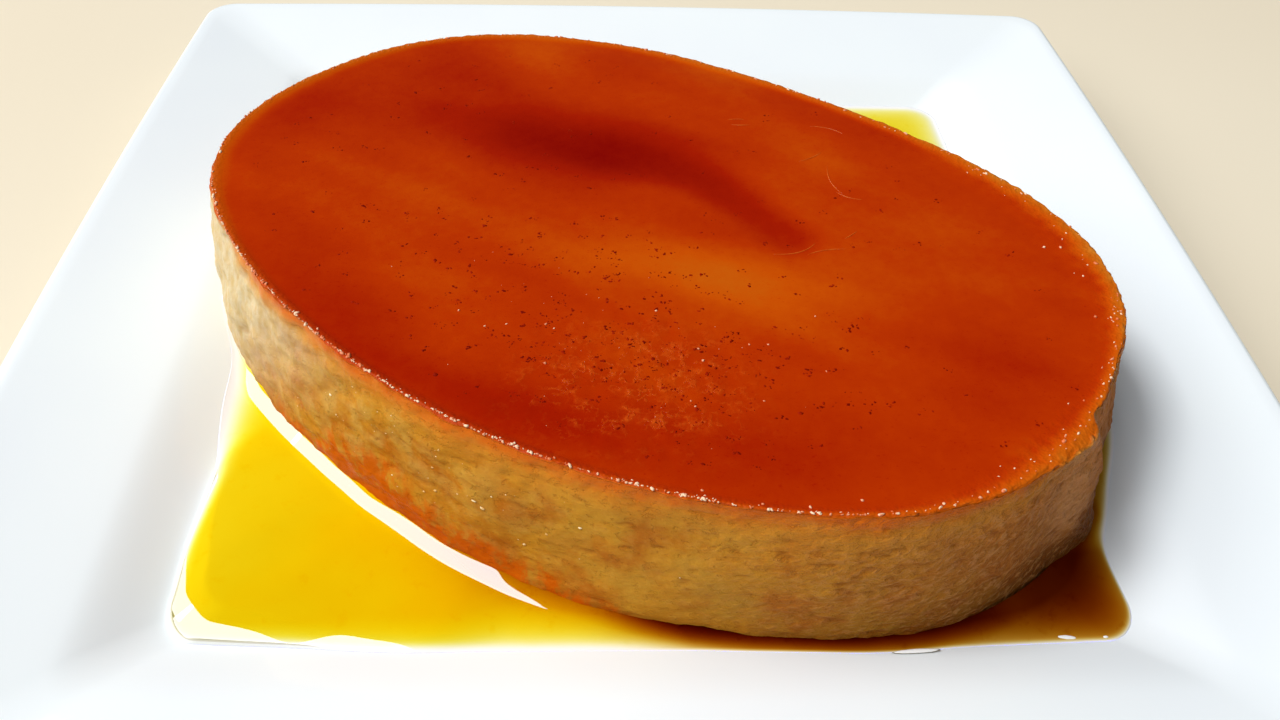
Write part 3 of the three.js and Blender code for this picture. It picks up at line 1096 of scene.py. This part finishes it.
# How much a millimetre of fresh and of burnt syrup takes out of red, green and blue.
syrupLook = {
    "fresh": (0.025, 0.186, 2.5),
    "burnt": (0.6, 1.36, 3.8),
    "plateWhite": 0.93,
    "dulled": 0.11,  # what even a little syrup takes off that
    "underGleam": 0.45,  # and a gleam over it
    "gleamStrength": 3.6,  # index of refraction, high so that the gleams turn white
    "clearFilm": 0.35,  # a film this thin shows half its colour
    # strength of the colour: at the left, how much more to the right, how much less at its end
    "strength": 0.74,
    "stronger": 0.5,
    "weaker": 0.2,
    # how burnt it is at the right, along the front, at the foot and at the film's edge
    "burntRight": 0.8,
    "burntFront": 0.8,
    "burntFoot": 0.4,
    "burntBrown": 0.7,
    "burntEdge": 0.3,
    # brown along the front, in degrees round the flan, and at the film's edge, round the plate
    "frontRise": (284, 304),
    "frontFall": (318, 336),
    "frontDeeper": 1.9,
    "nearEdge": (311, 11),
    "nearEdgeDeeper": 0.9,
    # a faint brown line at the foot before it
    "footRise": (260, 278),
    "footFall": (300, 310),
}


def inDirection(values, direction, angle):
    # Values known in some directions, read in others.
    order = np.argsort(direction)
    return np.interp(angle, direction[order], values[order], period=tau)


def radiusAround(x, y, angle):
    # Distance from the plate's centre to a closed outline, in each direction.
    return inDirection(np.hypot(x, y), np.arctan2(y, x) % tau, angle)


def wellRadius(height, angle):
    # Distance from the plate's centre to where its wall reaches a height over the floor.
    halves = np.linspace(plateForm["floorHalf"], 92, 400)
    half = np.interp(height, plateRise(halves), halves)
    corner, bow = ringSizes(np.array([half]))
    ring = squareRings([half], corner * 1.3, bow, 200, 60)[0]
    return radiusAround(ring[:, 0], ring[:, 1], angle)


def blurred(values, reach):
    # One turn of values, averaged over a bell of so many points.
    bell = np.exp(-(np.arange(-3 * reach, 3 * reach + 1) / reach) ** 2 / 2)
    return np.convolve(np.pad(values, 3 * reach, mode="wrap"), bell / bell.sum(), "valid")


def softMax(a, b, softness):
    # The larger of two, rounded where they meet: softness * log(e^(a/softness) + e^(b/softness)).
    return np.logaddexp(a / softness, b / softness) * softness


def syrupPlan(angle):
    # The sheet's lines round the plate: its inner and outer edge, and what varies along them.
    form = syrupForm
    degrees = np.degrees(angle)
    # the line on the custard that the syrup climbs to, tucked a little inside it
    filmed = ease(form["level"] - 0.9, form["level"] + 0.2, footLine)
    wander = 1 + 0.12 * roundNoise(16, 51) + 0.03 * roundNoise(8, 54)
    climb = form["climb"] * (1 - 0.3 * filmed) * wander
    touch = np.maximum(form["level"], footLine + 0.25) + climb
    side = np.stack(placed(*flanOutline(flanAngle, touch)), -1)
    inward = np.array([*flanForm["centre"]]) - side
    tucked = side + 0.45 * inward / np.linalg.norm(inward, axis=1, keepdims=True)
    direction = np.arctan2(tucked[:, 1], tucked[:, 0]) % tau
    footRadius = radiusAround(*placed(*flanOutline(flanAngle, footLine)), angle)
    sine, cosine = (inDirection(way(flanAngle), direction, angle) for way in (np.sin, np.cos))
    # the outer edge: where the wall passes the level, or a film's width out from the flan
    slow, quick = (softNoise(4, form["around"], 1, wide, seed)[0] for wide, seed in ((34, 52), (10, 53)))
    thick = span(degrees, form["plumpRise"], form["plumpFall"])
    wellEdge = wellRadius(form["level"], angle) + thick * (0.3 * slow + 0.2 * quick)
    wellEdge = bumped(wellEdge, degrees, form["edgeBumps"])
    film = bumped(form["filmWidth"], degrees, form["filmWidthBumps"]) + 0.3 * slow + 0.15 * quick
    edgeWidth = bumped(form["edgeWidth"], degrees, form["edgeWidthBumps"])
    return {
        "inner": radiusAround(*tucked.T, angle),
        "outer": softMax(wellEdge, footRadius + film, form["edgeBlend"]),
        "touch": inDirection(touch, direction, angle),
        "climbWidth": between(
            form["climbWidth"], form["filmClimbWidth"], inDirection(filmed, direction, angle)
        ),
        "edgeWidth": between(edgeWidth, form["plumpEdgeWidth"], thick),
        "plump": bumped(form["plump"], degrees, form["plumpBumps"]),
        "thick": thick,
        "own": np.degrees(np.arctan2(sine, cosine)) % 360,  # degrees round the flan
        "slow": slow,
        "quick": quick,
    }


def syrupTop(plan, degrees, bed, fromFlan, fromEdge, share):
    # Height over the plate's floor: the level, or the film where that is higher, plus a straight
    # slope up to the custard, less a straight slope down to the plump edge, and down to the plate
    # at the edge by 1 - e^-(distance / width)^1.2.
    form = syrupForm
    climbWidth, plump = plan["climbWidth"], plan["plump"]
    cover = bumped(form["filmDepth"], degrees, form["filmDepthBumps"]) * (1 - share ** 3)
    sheet = softMax(form["level"], bed + cover, form["filmBlend"])
    rise = np.clip(plan["touch"][None, :] - sheet[:1], 0, None)
    softness = form["slopeBlend"]
    sheet = sheet + rise * softness * np.logaddexp(0, (climbWidth - fromFlan) / softness) / climbWidth
    drop = form["steepness"] * plan["thick"]
    sheet = sheet + drop * plump * np.exp(-((fromEdge / 24) ** 2))
    sheet = sheet - drop * softness * np.logaddexp(0, (plump - fromEdge) / softness)
    return bed + 0.02 + (sheet - bed) * (1 - np.exp(-(fromEdge / plan["edgeWidth"]) ** 1.2))


def syrupStain(plan, degrees, x, y, deep, fromFlan, fromEdge):
    # How deep the syrup looks, and how burnt: paler at the left, burnt at the right, and partly
    # burnt along the front.
    look, own = syrupLook, plan["own"]
    deep = deep * (deep / (deep + look["clearFilm"])) * 1.15
    clearEdge = 1 - ease(0.1, 2.2 + 4 * hump(degrees, 209, 7), fromEdge)
    deep = deep * (1 - plan["thick"] * clearEdge)
    strength = look["strength"] + look["stronger"] * ease(-80, -20, x) * (1 - ease(-40, 0, y))
    strength = strength - look["weaker"] * ease(30, 60, x)
    right = ease(38, 66, x + 0.25 * y) * (1 - ease(-38, -8, y)) * look["burntRight"]
    front = ease(-14, 24, x) * (1 - ease(-66, -60, y)) * look["burntFront"]
    inFront = span(own, look["frontRise"], look["frontFall"])
    deep = deep + look["frontDeeper"] * np.exp(-fromFlan / 3.5) * ease(0, 0.8, fromEdge) * inFront
    nearEdge = hump(degrees, *look["nearEdge"]) * ease(0, 1.4, fromEdge) * np.exp(-fromEdge / 5)
    deep = deep + look["nearEdgeDeeper"] * nearEdge
    foot = look["burntFoot"] * np.exp(-fromFlan / 2.6) * span(own, look["footRise"], look["footFall"])
    foot = foot + look["burntBrown"] * inFront + look["burntEdge"] * nearEdge
    return deep * strength, np.clip(right + front + foot, 0, 1) * (1 + 0.12 * plan["slow"])


def syrupGleam(plan, degrees, fromFlan, fromEdge):
    # How far inside a gleaming stretch each point lies, at the custard or at the plump edge.
    form, own, slow, quick = syrupForm, plan["own"], plan["slow"], plan["quick"]
    bandAt, bandFrom, bandTo = np.array(form["band"]).T
    gleamAt, gleamIn = np.array(form["gleam"]).T
    bandFrom = blurred(np.interp(own, bandAt, bandFrom), 2) + 0.14 * quick - 0.2
    bandTo = blurred(np.interp(own, bandAt, bandTo), 2) + 0.16 * slow + 0.06 * quick
    atCustard = np.minimum(fromFlan - bandFrom, bandTo - fromFlan)
    atEdge = blurred(np.interp(degrees, gleamAt, gleamIn), 5) + 0.2 * quick - fromEdge
    return np.maximum(atCustard, np.minimum(atEdge, fromEdge - form["gleamInset"]))


def syrupSheet():
    # One loop of rows: out along the bed, then back in over the surface. Each point lies between
    # the flan's side and the outer edge, and rows lie closest together at both.
    form, floor = syrupForm, plateForm["footHeight"]
    angle = np.linspace(0, tau, form["around"], endpoint=False)
    degrees = np.degrees(angle)
    plan = syrupPlan(angle)
    inner, outer = plan["inner"], plan["outer"]
    total = outer - inner
    near, far = np.minimum(4.4, 0.45 * total), np.minimum(plan["plump"] + 1.2, 0.4 * total)
    w = [np.linspace(0, 1, form[key])[:, None] for key in ("nearRows", "middleRows", "farRows")]
    fromFlan = np.concatenate([
        near * w[0],
        between(near, total - far, w[1][1:-1]),
        total - far * (1 - w[2]),
    ])
    radius = inner + fromFlan
    share = fromFlan / total
    x, y = radius * np.cos(angle), radius * np.sin(angle)
    bed = plateHeight(x, y) - floor
    # the way to the flan is shorter than the way along the ray, by the cosine of their slant
    slant = np.gradient(inner) / inner * form["around"] / tau
    fromFlan = fromFlan / np.sqrt(1 + slant ** 2)
    fromEdge = outer - radius
    top = syrupTop(plan, degrees, bed, fromFlan, fromEdge, share)
    upper = np.stack([x, y, floor + top], -1)
    lowShare = np.linspace(0, 1, form["beneath"])[:, None]
    lowRadius = between(inner[None, :], outer[None, :], lowShare)
    lx, ly = lowRadius * np.cos(angle), lowRadius * np.sin(angle)
    lower = np.stack([lx, ly, plateHeight(lx, ly) + 0.01], -1)
    points = np.concatenate([lower, upper[::-1]]).reshape(-1, 3)
    faces = gridFaces(form["beneath"] + len(upper), form["around"]) % len(points)
    deep = np.clip(top - bed, 0, form["level"])
    depth, burnt = syrupStain(plan, degrees, x, y, deep, fromFlan, fromEdge)
    gleam = syrupGleam(plan, degrees, fromFlan, fromEdge)
    attributes = {
        key: np.concatenate([lower[..., 0] * 0 - 1, values[::-1]]).ravel()
        for key, values in (("depth", depth), ("burnt", burnt), ("gleam", gleam))
    }
    nodes = ["syrup_back", "syrup_front_left", "syrup_front_right"]
    return makePiece("syrup_pool", points, [faces], nodes, attributes)


def syrupFinish():
    # The white of the plate times e to the minus (loss of each colour in a millimetre times depth),
    # darker where the gleam lies over it.
    look = syrupLook
    finish = Finish("clearSyrup", IOR=1.5, Roughness=0.05, Specular_IOR_Level=0.0)
    cloud = finish.noise(16, detail=3).ramp(0.3, 0.75)
    mottle = finish.noise(3, detail=4, roughness=0.65).ramp(0.56, 0.72)
    depth = finish.attribute("depth") * (0.92 + cloud * 0.16 + mottle * 0.14)
    burnt = finish.attribute("burnt")
    white = look["plateWhite"] - look["dulled"] * (1 - math.e ** (depth * -2))
    losses = zip(look["fresh"], look["burnt"])
    inside = finish.attribute("gleam")
    white = white * (1 - inside.ramp(0.1, 0.5) * look["underGleam"])
    light = [white * math.e ** (depth * (fresh + burnt * (dark - fresh)) * -1) for fresh, dark in losses]
    finish.set(**{
        "Base Color": finish.add("ShaderNodeCombineColor", {}, dict(enumerate(light))),
        "Coat Weight": inside.ramp(-0.05, 0.05),
        "Coat IOR": look["gleamStrength"],
        "Coat Tint": (1, 0.95, 0.89, 1),
        "Coat Roughness": 0.02,
    })
    return finish.material


syrup = syrupSheet()
syrup.data.materials.append(syrupFinish())
print("syrup made")


# Small round things, all one shape, joined into one mesh each.

def droplets(name, places, sizes, turns, rings=5, sides=9, uneven=0.0):
    # An oval bead at each place: latitude and longitude on a sphere, times its three sizes and an
    # uneven stretch of each point, turned about the upright.
    lat = np.linspace(0, math.pi, rings + 1)[1:-1]
    lon = np.linspace(0, tau, sides, endpoint=False)
    body = np.stack([
        np.outer(np.sin(lat), np.cos(lon)),
        np.outer(np.sin(lat), np.sin(lon)),
        np.outer(np.cos(lat), np.ones(sides)),
    ], -1)[::-1]
    unit, faces = closedGrid(body, (0, 0, -1), (0, 0, 1))
    stretch = np.random.default_rng(71).uniform(1 - uneven, 1 + uneven, (len(places), len(unit), 1))
    shape = unit[None] * sizes[:, None, :] * stretch
    c, s = np.cos(turns)[:, None], np.sin(turns)[:, None]
    turned = np.stack([
        c * shape[..., 0] - s * shape[..., 1], s * shape[..., 0] + c * shape[..., 1], shape[..., 2],
    ], -1)
    points = (turned + places[:, None, :]).reshape(-1, 3)
    faceSets = repeated(faces, len(places), len(unit))
    return makePiece(name, points, faceSets, [], {"crown": np.tile(unit[:, 2], len(places))})


def onCaramel(x, y, sunk=0.0):
    # Points of the caramel face at places in the flan's own axes.
    form = flanForm
    angle = np.arctan2(y / form["topHalf"][1], x / form["topHalf"][0])
    edgeX, edgeY = flanOutline(angle, form["height"] - form["edge"])
    nx, ny = outward(angle)
    inset = abs(edgeX * nx + edgeY * ny) * (1 - np.hypot(x, y) / np.hypot(edgeX, edgeY))
    z = plateForm["footHeight"] + faceHeight(x, y, inset, angle) - sunk
    return np.stack([*placed(x, y), z], -1)


beadLook = {
    "count": 1900,
    "small": 0.1,  # radius
    "large": 0.3,
    # pale tones that are painted glints
    "light": paint(255, 218, 180),
    "dark": paint(228, 118, 66),
    # painted dark outline below the edge drops' painted highlights
    "skirt": paint(120, 106, 66),  # round the lower part of long drops
}


def rimBeads():
    # Droplets along the edge, closest together in front, with a few large ones; their pale colour is
    # painted glints.
    look = beadLook
    draw = np.random.default_rng(61)
    count = look["count"]
    angle = np.sort(draw.uniform(0, tau, count))
    keep = draw.random(count) < 0.16 + 0.84 * facing(angle, 262, 48)
    angle = angle[keep]
    grainy = rimShares(angle)[1]
    inset = 0.3 + draw.gamma(1.2, 0.14, len(angle)) + grainy * draw.exponential(1.8, len(angle))
    size = between(look["small"], look["large"], draw.random(len(angle)) ** 4)
    sizes = np.stack([size * draw.uniform(0.9, 2.2, len(size)), size, size * 0.8], 1)
    nx, ny = outward(angle)
    turns = np.arctan2(nx, -ny) + flanForm["turn"] + draw.normal(0, 0.5, len(size))
    x, y = flanOutline(angle, flanForm["height"] - flanForm["edge"])
    places = onCaramel(x - nx * inset, y - ny * inset)
    return droplets("rim_beads", places, sizes, turns, rings=4, sides=7, uneven=0.3)


# Larger bubbles that stand out on the face, pale as painted glints: place along and across the flan,
# radius.
bubbleLook = {
    "large": [
        (-14.8, -37.2, 0.34), (-9, -38.2, 0.24), (-6.2, -36, 0.24), (-0.6, -32.8, 0.3),
        (1.1, -33, 0.22), (4.1, -40.7, 0.34), (23.8, -25.6, 0.28), (25.6, -27.6, 0.36),
        (27.8, -36.5, 0.28), (28.9, -37.2, 0.22), (13.6, -20.7, 0.26), (37.4, -8.5, 0.24),
        (30.5, -20.4, 0.22), (33.2, -18.8, 0.26), (43.7, -19.9, 0.2), (37.6, -30.8, 0.22),
        (51.4, -46.5, 0.32), (57.4, -41.7, 0.32), (36.8, -51.3, 0.32), (45.3, -49.3, 0.26),
    ],
    "count": 34,
    "shrink": 0.72,  # every radius times this
    # pale tones that are painted glints
    "light": paint(255, 200, 160),
    "dark": paint(232, 140, 96),
}


def faceBubbles():
    # The listed bubbles and a scatter of small ones round the patch.
    draw = np.random.default_rng(62)
    count = bubbleLook["count"]
    scatter = np.stack([
        draw.normal(14, 22, count), draw.normal(-33, 9, count), draw.uniform(0.06, 0.12, count),
    ], 1)
    inside = np.hypot(scatter[:, 0] / 84, scatter[:, 1] / 55) < 0.97
    every = np.concatenate([bubbleLook["large"], scatter[inside]])
    x, y, size = every.T
    size = size * bubbleLook["shrink"]
    sizes = np.stack([size * draw.uniform(0.8, 1.6, len(size)), size * 0.9, size * 0.75], 1)
    turns = draw.uniform(0, tau, len(size))
    return droplets("face_bubbles", onCaramel(x, y), sizes, turns, uneven=0.3)


# Moist drops on the custard's side, pale as painted glints: degrees round the flan, height, radius.
sideDropLook = {
    "large": [
        (251, 21.8, 0.3), (252.5, 19.4, 0.24), (255, 27.4, 0.2), (260, 22.2, 0.2), (267.5, 25.8, 0.26),
        (266.5, 21, 0.2), (265.5, 15, 0.24), (267, 16.6, 0.3), (272, 19.4, 0.34), (273, 18.6, 0.36),
        (261, 14.2, 0.2), (274, 21.8, 0.22), (277.5, 13.4, 0.36), (280, 17.8, 0.22), (283.5, 21.4, 0.3),
    ],
    "count": 44,
    "shrink": 0.85,  # every radius times this
    # pale tones that are painted glints
    "light": paint(255, 236, 190),
    "dark": paint(232, 184, 110),
}


def sideDrops():
    # The listed drops and a scatter of small ones, each half sunk in the relief.
    draw = np.random.default_rng(64)
    count = sideDropLook["count"]
    scatter = np.stack([
        draw.normal(258, 14, count), draw.uniform(9, 28, count), 0.06 + 0.08 * draw.random(count) ** 2,
    ], 1)
    degrees, height, size = np.concatenate([sideDropLook["large"], scatter]).T
    size = size * sideDropLook["shrink"]
    angle = np.radians(degrees)
    nx, ny = outward(angle)
    x, y = flanOutline(angle, height)
    push = readField(sideRelief, height / flanForm["noiseCell"], degrees / 360 * flanForm["around"])
    px, py = placed(x + nx * push, y + ny * push)
    places = np.stack([px, py, plateForm["footHeight"] + height], -1)
    sizes = np.stack([size * draw.uniform(0.9, 1.7, len(size)), size * 0.7, size * 0.8], 1)
    turns = np.arctan2(nx, -ny) + flanForm["turn"]
    return droplets("side_drops", places, sizes, turns, rings=4, sides=7, uneven=0.3)


# Long drops at the pool's front edge, white as painted highlights with a painted dark outline below: x,
# y, half length, half width, turn.
edgeDropLook = {
    "drops": [
        (41.0, -81.0, 3.9, 0.38, 0.05),
        (66.0, -78.2, 1.9, 0.45, -0.08),
        (72.5, -78.2, 0.5, 0.25, 0.0),
    ],
    "lift": 0.35,  # above the plate
    # white as painted highlights
    "light": paint(255, 255, 255),
    "dark": paint(255, 254, 250),
}


def edgeDrops():
    # The listed drops, a little flattened.
    x, y, length, width, turns = np.array(edgeDropLook["drops"]).T
    sizes = np.stack([length, width, width * 0.6], 1)
    places = np.stack([x, y, plateHeight(x, y) + edgeDropLook["lift"]], -1)
    return droplets("edge_highlight_drops", places, sizes, turns, rings=7, sides=14, uneven=0.06)


def beadFinish(name, look, skirt=-1.0):
    # Drops of syrup whose pale colour is painted glints and highlights, darker all round below a share of
    # their height.
    finish = Finish(name)
    tone = finish.noise(1.4, detail=2).ramp(0.4, 0.6)
    lit = finish.attribute("crown").ramp(skirt - 0.1, skirt + 0.1)
    colour = finish.mix(lit, beadLook["skirt"], finish.mix(tone, look["light"], look["dark"]))
    finish.set(**{"Base Color": colour, "Roughness": 0.2 + tone * 0.1})
    return finish.material


speckLook = {
    "clumps": 480,
    "each": 4,  # flecks in a clump
    "nearShare": 0.62,  # share of the clumps that lie in front of the middle
    "tones": (paint(120, 11, 0), paint(152, 27, 2)),
}


def caramelSpecks():
    # Flat burnt flecks in clumps, half sunk: thick in front of the middle, thin elsewhere.
    draw = np.random.default_rng(63)
    count = speckLook["clumps"]
    near = draw.random(count) < speckLook["nearShare"]
    x = np.where(near, draw.normal(12, 24, count), draw.uniform(-80, 82, count))
    y = np.where(near, draw.normal(-26, 16, count), draw.uniform(-54, 52, count))
    inside = np.hypot(x / 84, y / 55.5) < 0.95
    x, y = (np.repeat(way[inside], speckLook["each"]) for way in (x, y))
    away = draw.normal(0, 0.45, len(x))  # along the plate's side, turned into the flan's axes
    x = x + away * math.cos(flanForm["turn"]) + draw.normal(0, 0.35, len(x))
    y = y - away * math.sin(flanForm["turn"]) + draw.normal(0, 0.35, len(x))
    size = 0.09 + 0.21 * draw.random(len(x)) ** 2.4
    sizes = np.stack([size * draw.uniform(0.8, 1.5, len(x)), size * 0.9, size * 0 + 0.05], 1)
    turns = draw.normal(0, 0.9, len(x))
    places = onCaramel(x, y, 0.01)
    return droplets("caramel_specks", places, sizes, turns, rings=4, sides=8, uneven=0.5)


# Thin curved ripples in the syrup: start, bend and end of each, along and across the flan.
rippleLook = {
    "lines": [
        ((-0.4, 38.6), (1.0, 39.8), (2.6, 40.4)),
        ((1.0, 37.3), (2.7, 37.9), (4.4, 39.2)),
        ((15.4, 45.1), (19.4, 47.0), (22.4, 45.8)),
        ((23.5, 33.7), (25.2, 28.4), (29.5, 26.5)),
        ((27.9, 26.6), (30.7, 25.4), (33.3, 26.8)),
        ((24.6, 3.2), (29.8, 5.6), (30.2, 10.2)),
        ((30.2, 6.2), (31.8, 9.0), (35.8, 11.2)),
        ((34.5, 13.9), (35.2, 15.4), (35.7, 17.1)),
        ((18.1, 32.4), (19.9, 34.3), (20.8, 37.6)),
    ],
    "steps": 22,
    "sides": 6,
    "thickness": 0.12,
    "tones": (paint(212, 96, 22), paint(198, 76, 8)),
}


def syrupRipples():
    # Each line is (1-t)^2 start + 2t(1-t) bend + t^2 end, carried by a ring that thins at both ends.
    look = rippleLook
    steps, sides = look["steps"], look["sides"]
    lines = np.array(look["lines"])
    t = np.linspace(0, 1, steps)[None, :, None]
    start, bend, end = (lines[:, k:k + 1, :] for k in range(3))
    line = (1 - t) ** 2 * start + 2 * t * (1 - t) * bend + t ** 2 * end
    centre = onCaramel(line[..., 0], line[..., 1])
    along = np.gradient(centre, axis=1)
    along = along / np.linalg.norm(along, axis=-1, keepdims=True)
    sideways = np.cross(along, (0, 0, 1.0))
    turn = np.linspace(0, tau, sides, endpoint=False)
    thick = look["thickness"] * (0.08 + np.sin(math.pi * t[..., 0]) ** 0.7)[..., None, None]
    ring = np.cos(turn)[:, None] * sideways[:, :, None, :] + np.sin(turn)[:, None] * np.array([0, 0, 0.7])
    points = centre[:, :, None, :] + thick * ring
    caps = np.array([range(sides)[::-1], range((steps - 1) * sides, steps * sides)])
    faceSets = repeated((gridFaces(steps, sides), caps), len(lines), steps * sides)
    return makePiece("syrup_ripples", points.reshape(-1, 3), faceSets, [])


smallThings = [
    (rimBeads, beadFinish("syrupBeadsPaintedGlints", beadLook)),
    (faceBubbles, beadFinish("airBubblesPaintedGlints", bubbleLook)),
    (sideDrops, beadFinish("moistDropsPaintedGlints", sideDropLook)),
    (edgeDrops, beadFinish("paintedHighlightDrops", edgeDropLook, 0.3)),
    (caramelSpecks, twoTone(
        "burntSpecks", 2, 0.4, 0.6, speckLook["tones"], Roughness=0.6, Specular_IOR_Level=0.05
    )),
    (syrupRipples, twoTone("rippleCrest", 1.5, 0.35, 0.65, rippleLook["tones"], Roughness=0.25)),
]
for make, material in smallThings:
    make().data.materials.append(material)
print("small things made")


# Floor, light and camera.

room = {
    "floorReach": 3,  # metres
    "floorTones": (paint(240, 228, 203), paint(234, 220, 193)),
    "lampColour": (0.975, 0.985, 1.0),
    "skyColour": (0.96, 0.96, 1.0, 1),
    "skyStrength": 0.05,
}


def makeFloor():
    # A plain pale floor under the plate.
    mesh = bpy.data.meshes.new("floor")
    reach = room["floorReach"]
    corners = [(-reach, -reach, 0), (reach, -reach, 0), (reach, reach, 0), (-reach, reach, 0)]
    mesh.from_pydata(corners, [], [(0, 1, 2, 3)])
    floor = addObject("floor", mesh)
    mesh.materials.append(twoTone("paleFloor", 400, 0.3, 0.7, room["floorTones"], Roughness=0.6))


def makeLight(name, azimuth, elevation, distance, size, power, shines=True):
    # An area light that faces the flan. Azimuth is clockwise from the back, in degrees.
    az, el = math.radians(azimuth), math.radians(elevation)
    toLight = Vector((math.sin(az) * math.cos(el), math.cos(az) * math.cos(el), math.sin(el)))
    lamp = bpy.data.lights.new(name, "AREA")
    lamp.shape = "RECTANGLE"
    lamp.size, lamp.size_y = size
    lamp.energy = power
    lamp.color = room["lampColour"]
    light = addObject(name, lamp)
    light.visible_glossy = shines
    light.location = toLight * distance
    light.rotation_euler = toLight.to_track_quat("Z", "Y").to_euler()


lights = {
    # the overhead light only brightens, so that the wet faces stay clear of its reflection
    "overhead": dict(azimuth=-88, elevation=57, distance=4.5, size=(1.3, 1.3), power=104, shines=False),
    "window": dict(azimuth=-102, elevation=53, distance=4.5, size=(4.2, 4.9), power=156),
    "lowWindow": dict(azimuth=-55, elevation=28, distance=4.5, size=(2.4, 2.7), power=49),
    "rightSpark": dict(azimuth=116, elevation=69, distance=4.5, size=(0.5, 0.4), power=2),
    "frontCard": dict(azimuth=180, elevation=40, distance=3, size=(5, 3.2), power=7),
}

view = {
    "lens": 29.36,
    "sensor": 36,
    "place": (-9.16, -162.6, 157.4),  # millimetres
    "pitch": 45.13,  # degrees, as the next two
    "yaw": 3.37,
    "roll": 2.53,
}


def makeCamera():
    # Forward from pitch and yaw; right and up are level, then turned about forward by the roll.
    pitch, yaw, roll = (math.radians(view[key]) for key in ("pitch", "yaw", "roll"))
    forward = Vector((math.sin(yaw) * math.cos(pitch), math.cos(yaw) * math.cos(pitch), -math.sin(pitch)))
    level = Vector((math.cos(yaw), -math.sin(yaw), 0))
    up = level.cross(forward)
    right = level * math.cos(roll) + up * math.sin(roll)
    above = up * math.cos(roll) - level * math.sin(roll)
    data = bpy.data.cameras.new("camera")
    data.lens = view["lens"]
    data.sensor_width = view["sensor"]
    data.clip_start = 0.01
    camera = addObject("camera", data)
    turn = Matrix((right, above, -forward)).transposed().to_4x4()
    camera.matrix_world = Matrix.Translation(Vector(view["place"]) * mm) @ turn
    bpy.context.scene.camera = camera


makeFloor()
for name, settings in lights.items():
    makeLight(name, **settings)
world = bpy.data.worlds.new("softLight")
world.use_nodes = True
sky = world.node_tree.nodes["Background"].inputs
sky["Color"].default_value = room["skyColour"]
sky["Strength"].default_value = room["skyStrength"]
bpy.context.scene.world = world
bpy.context.scene.view_settings.view_transform = "Standard"
makeCamera()
print("light and camera made")
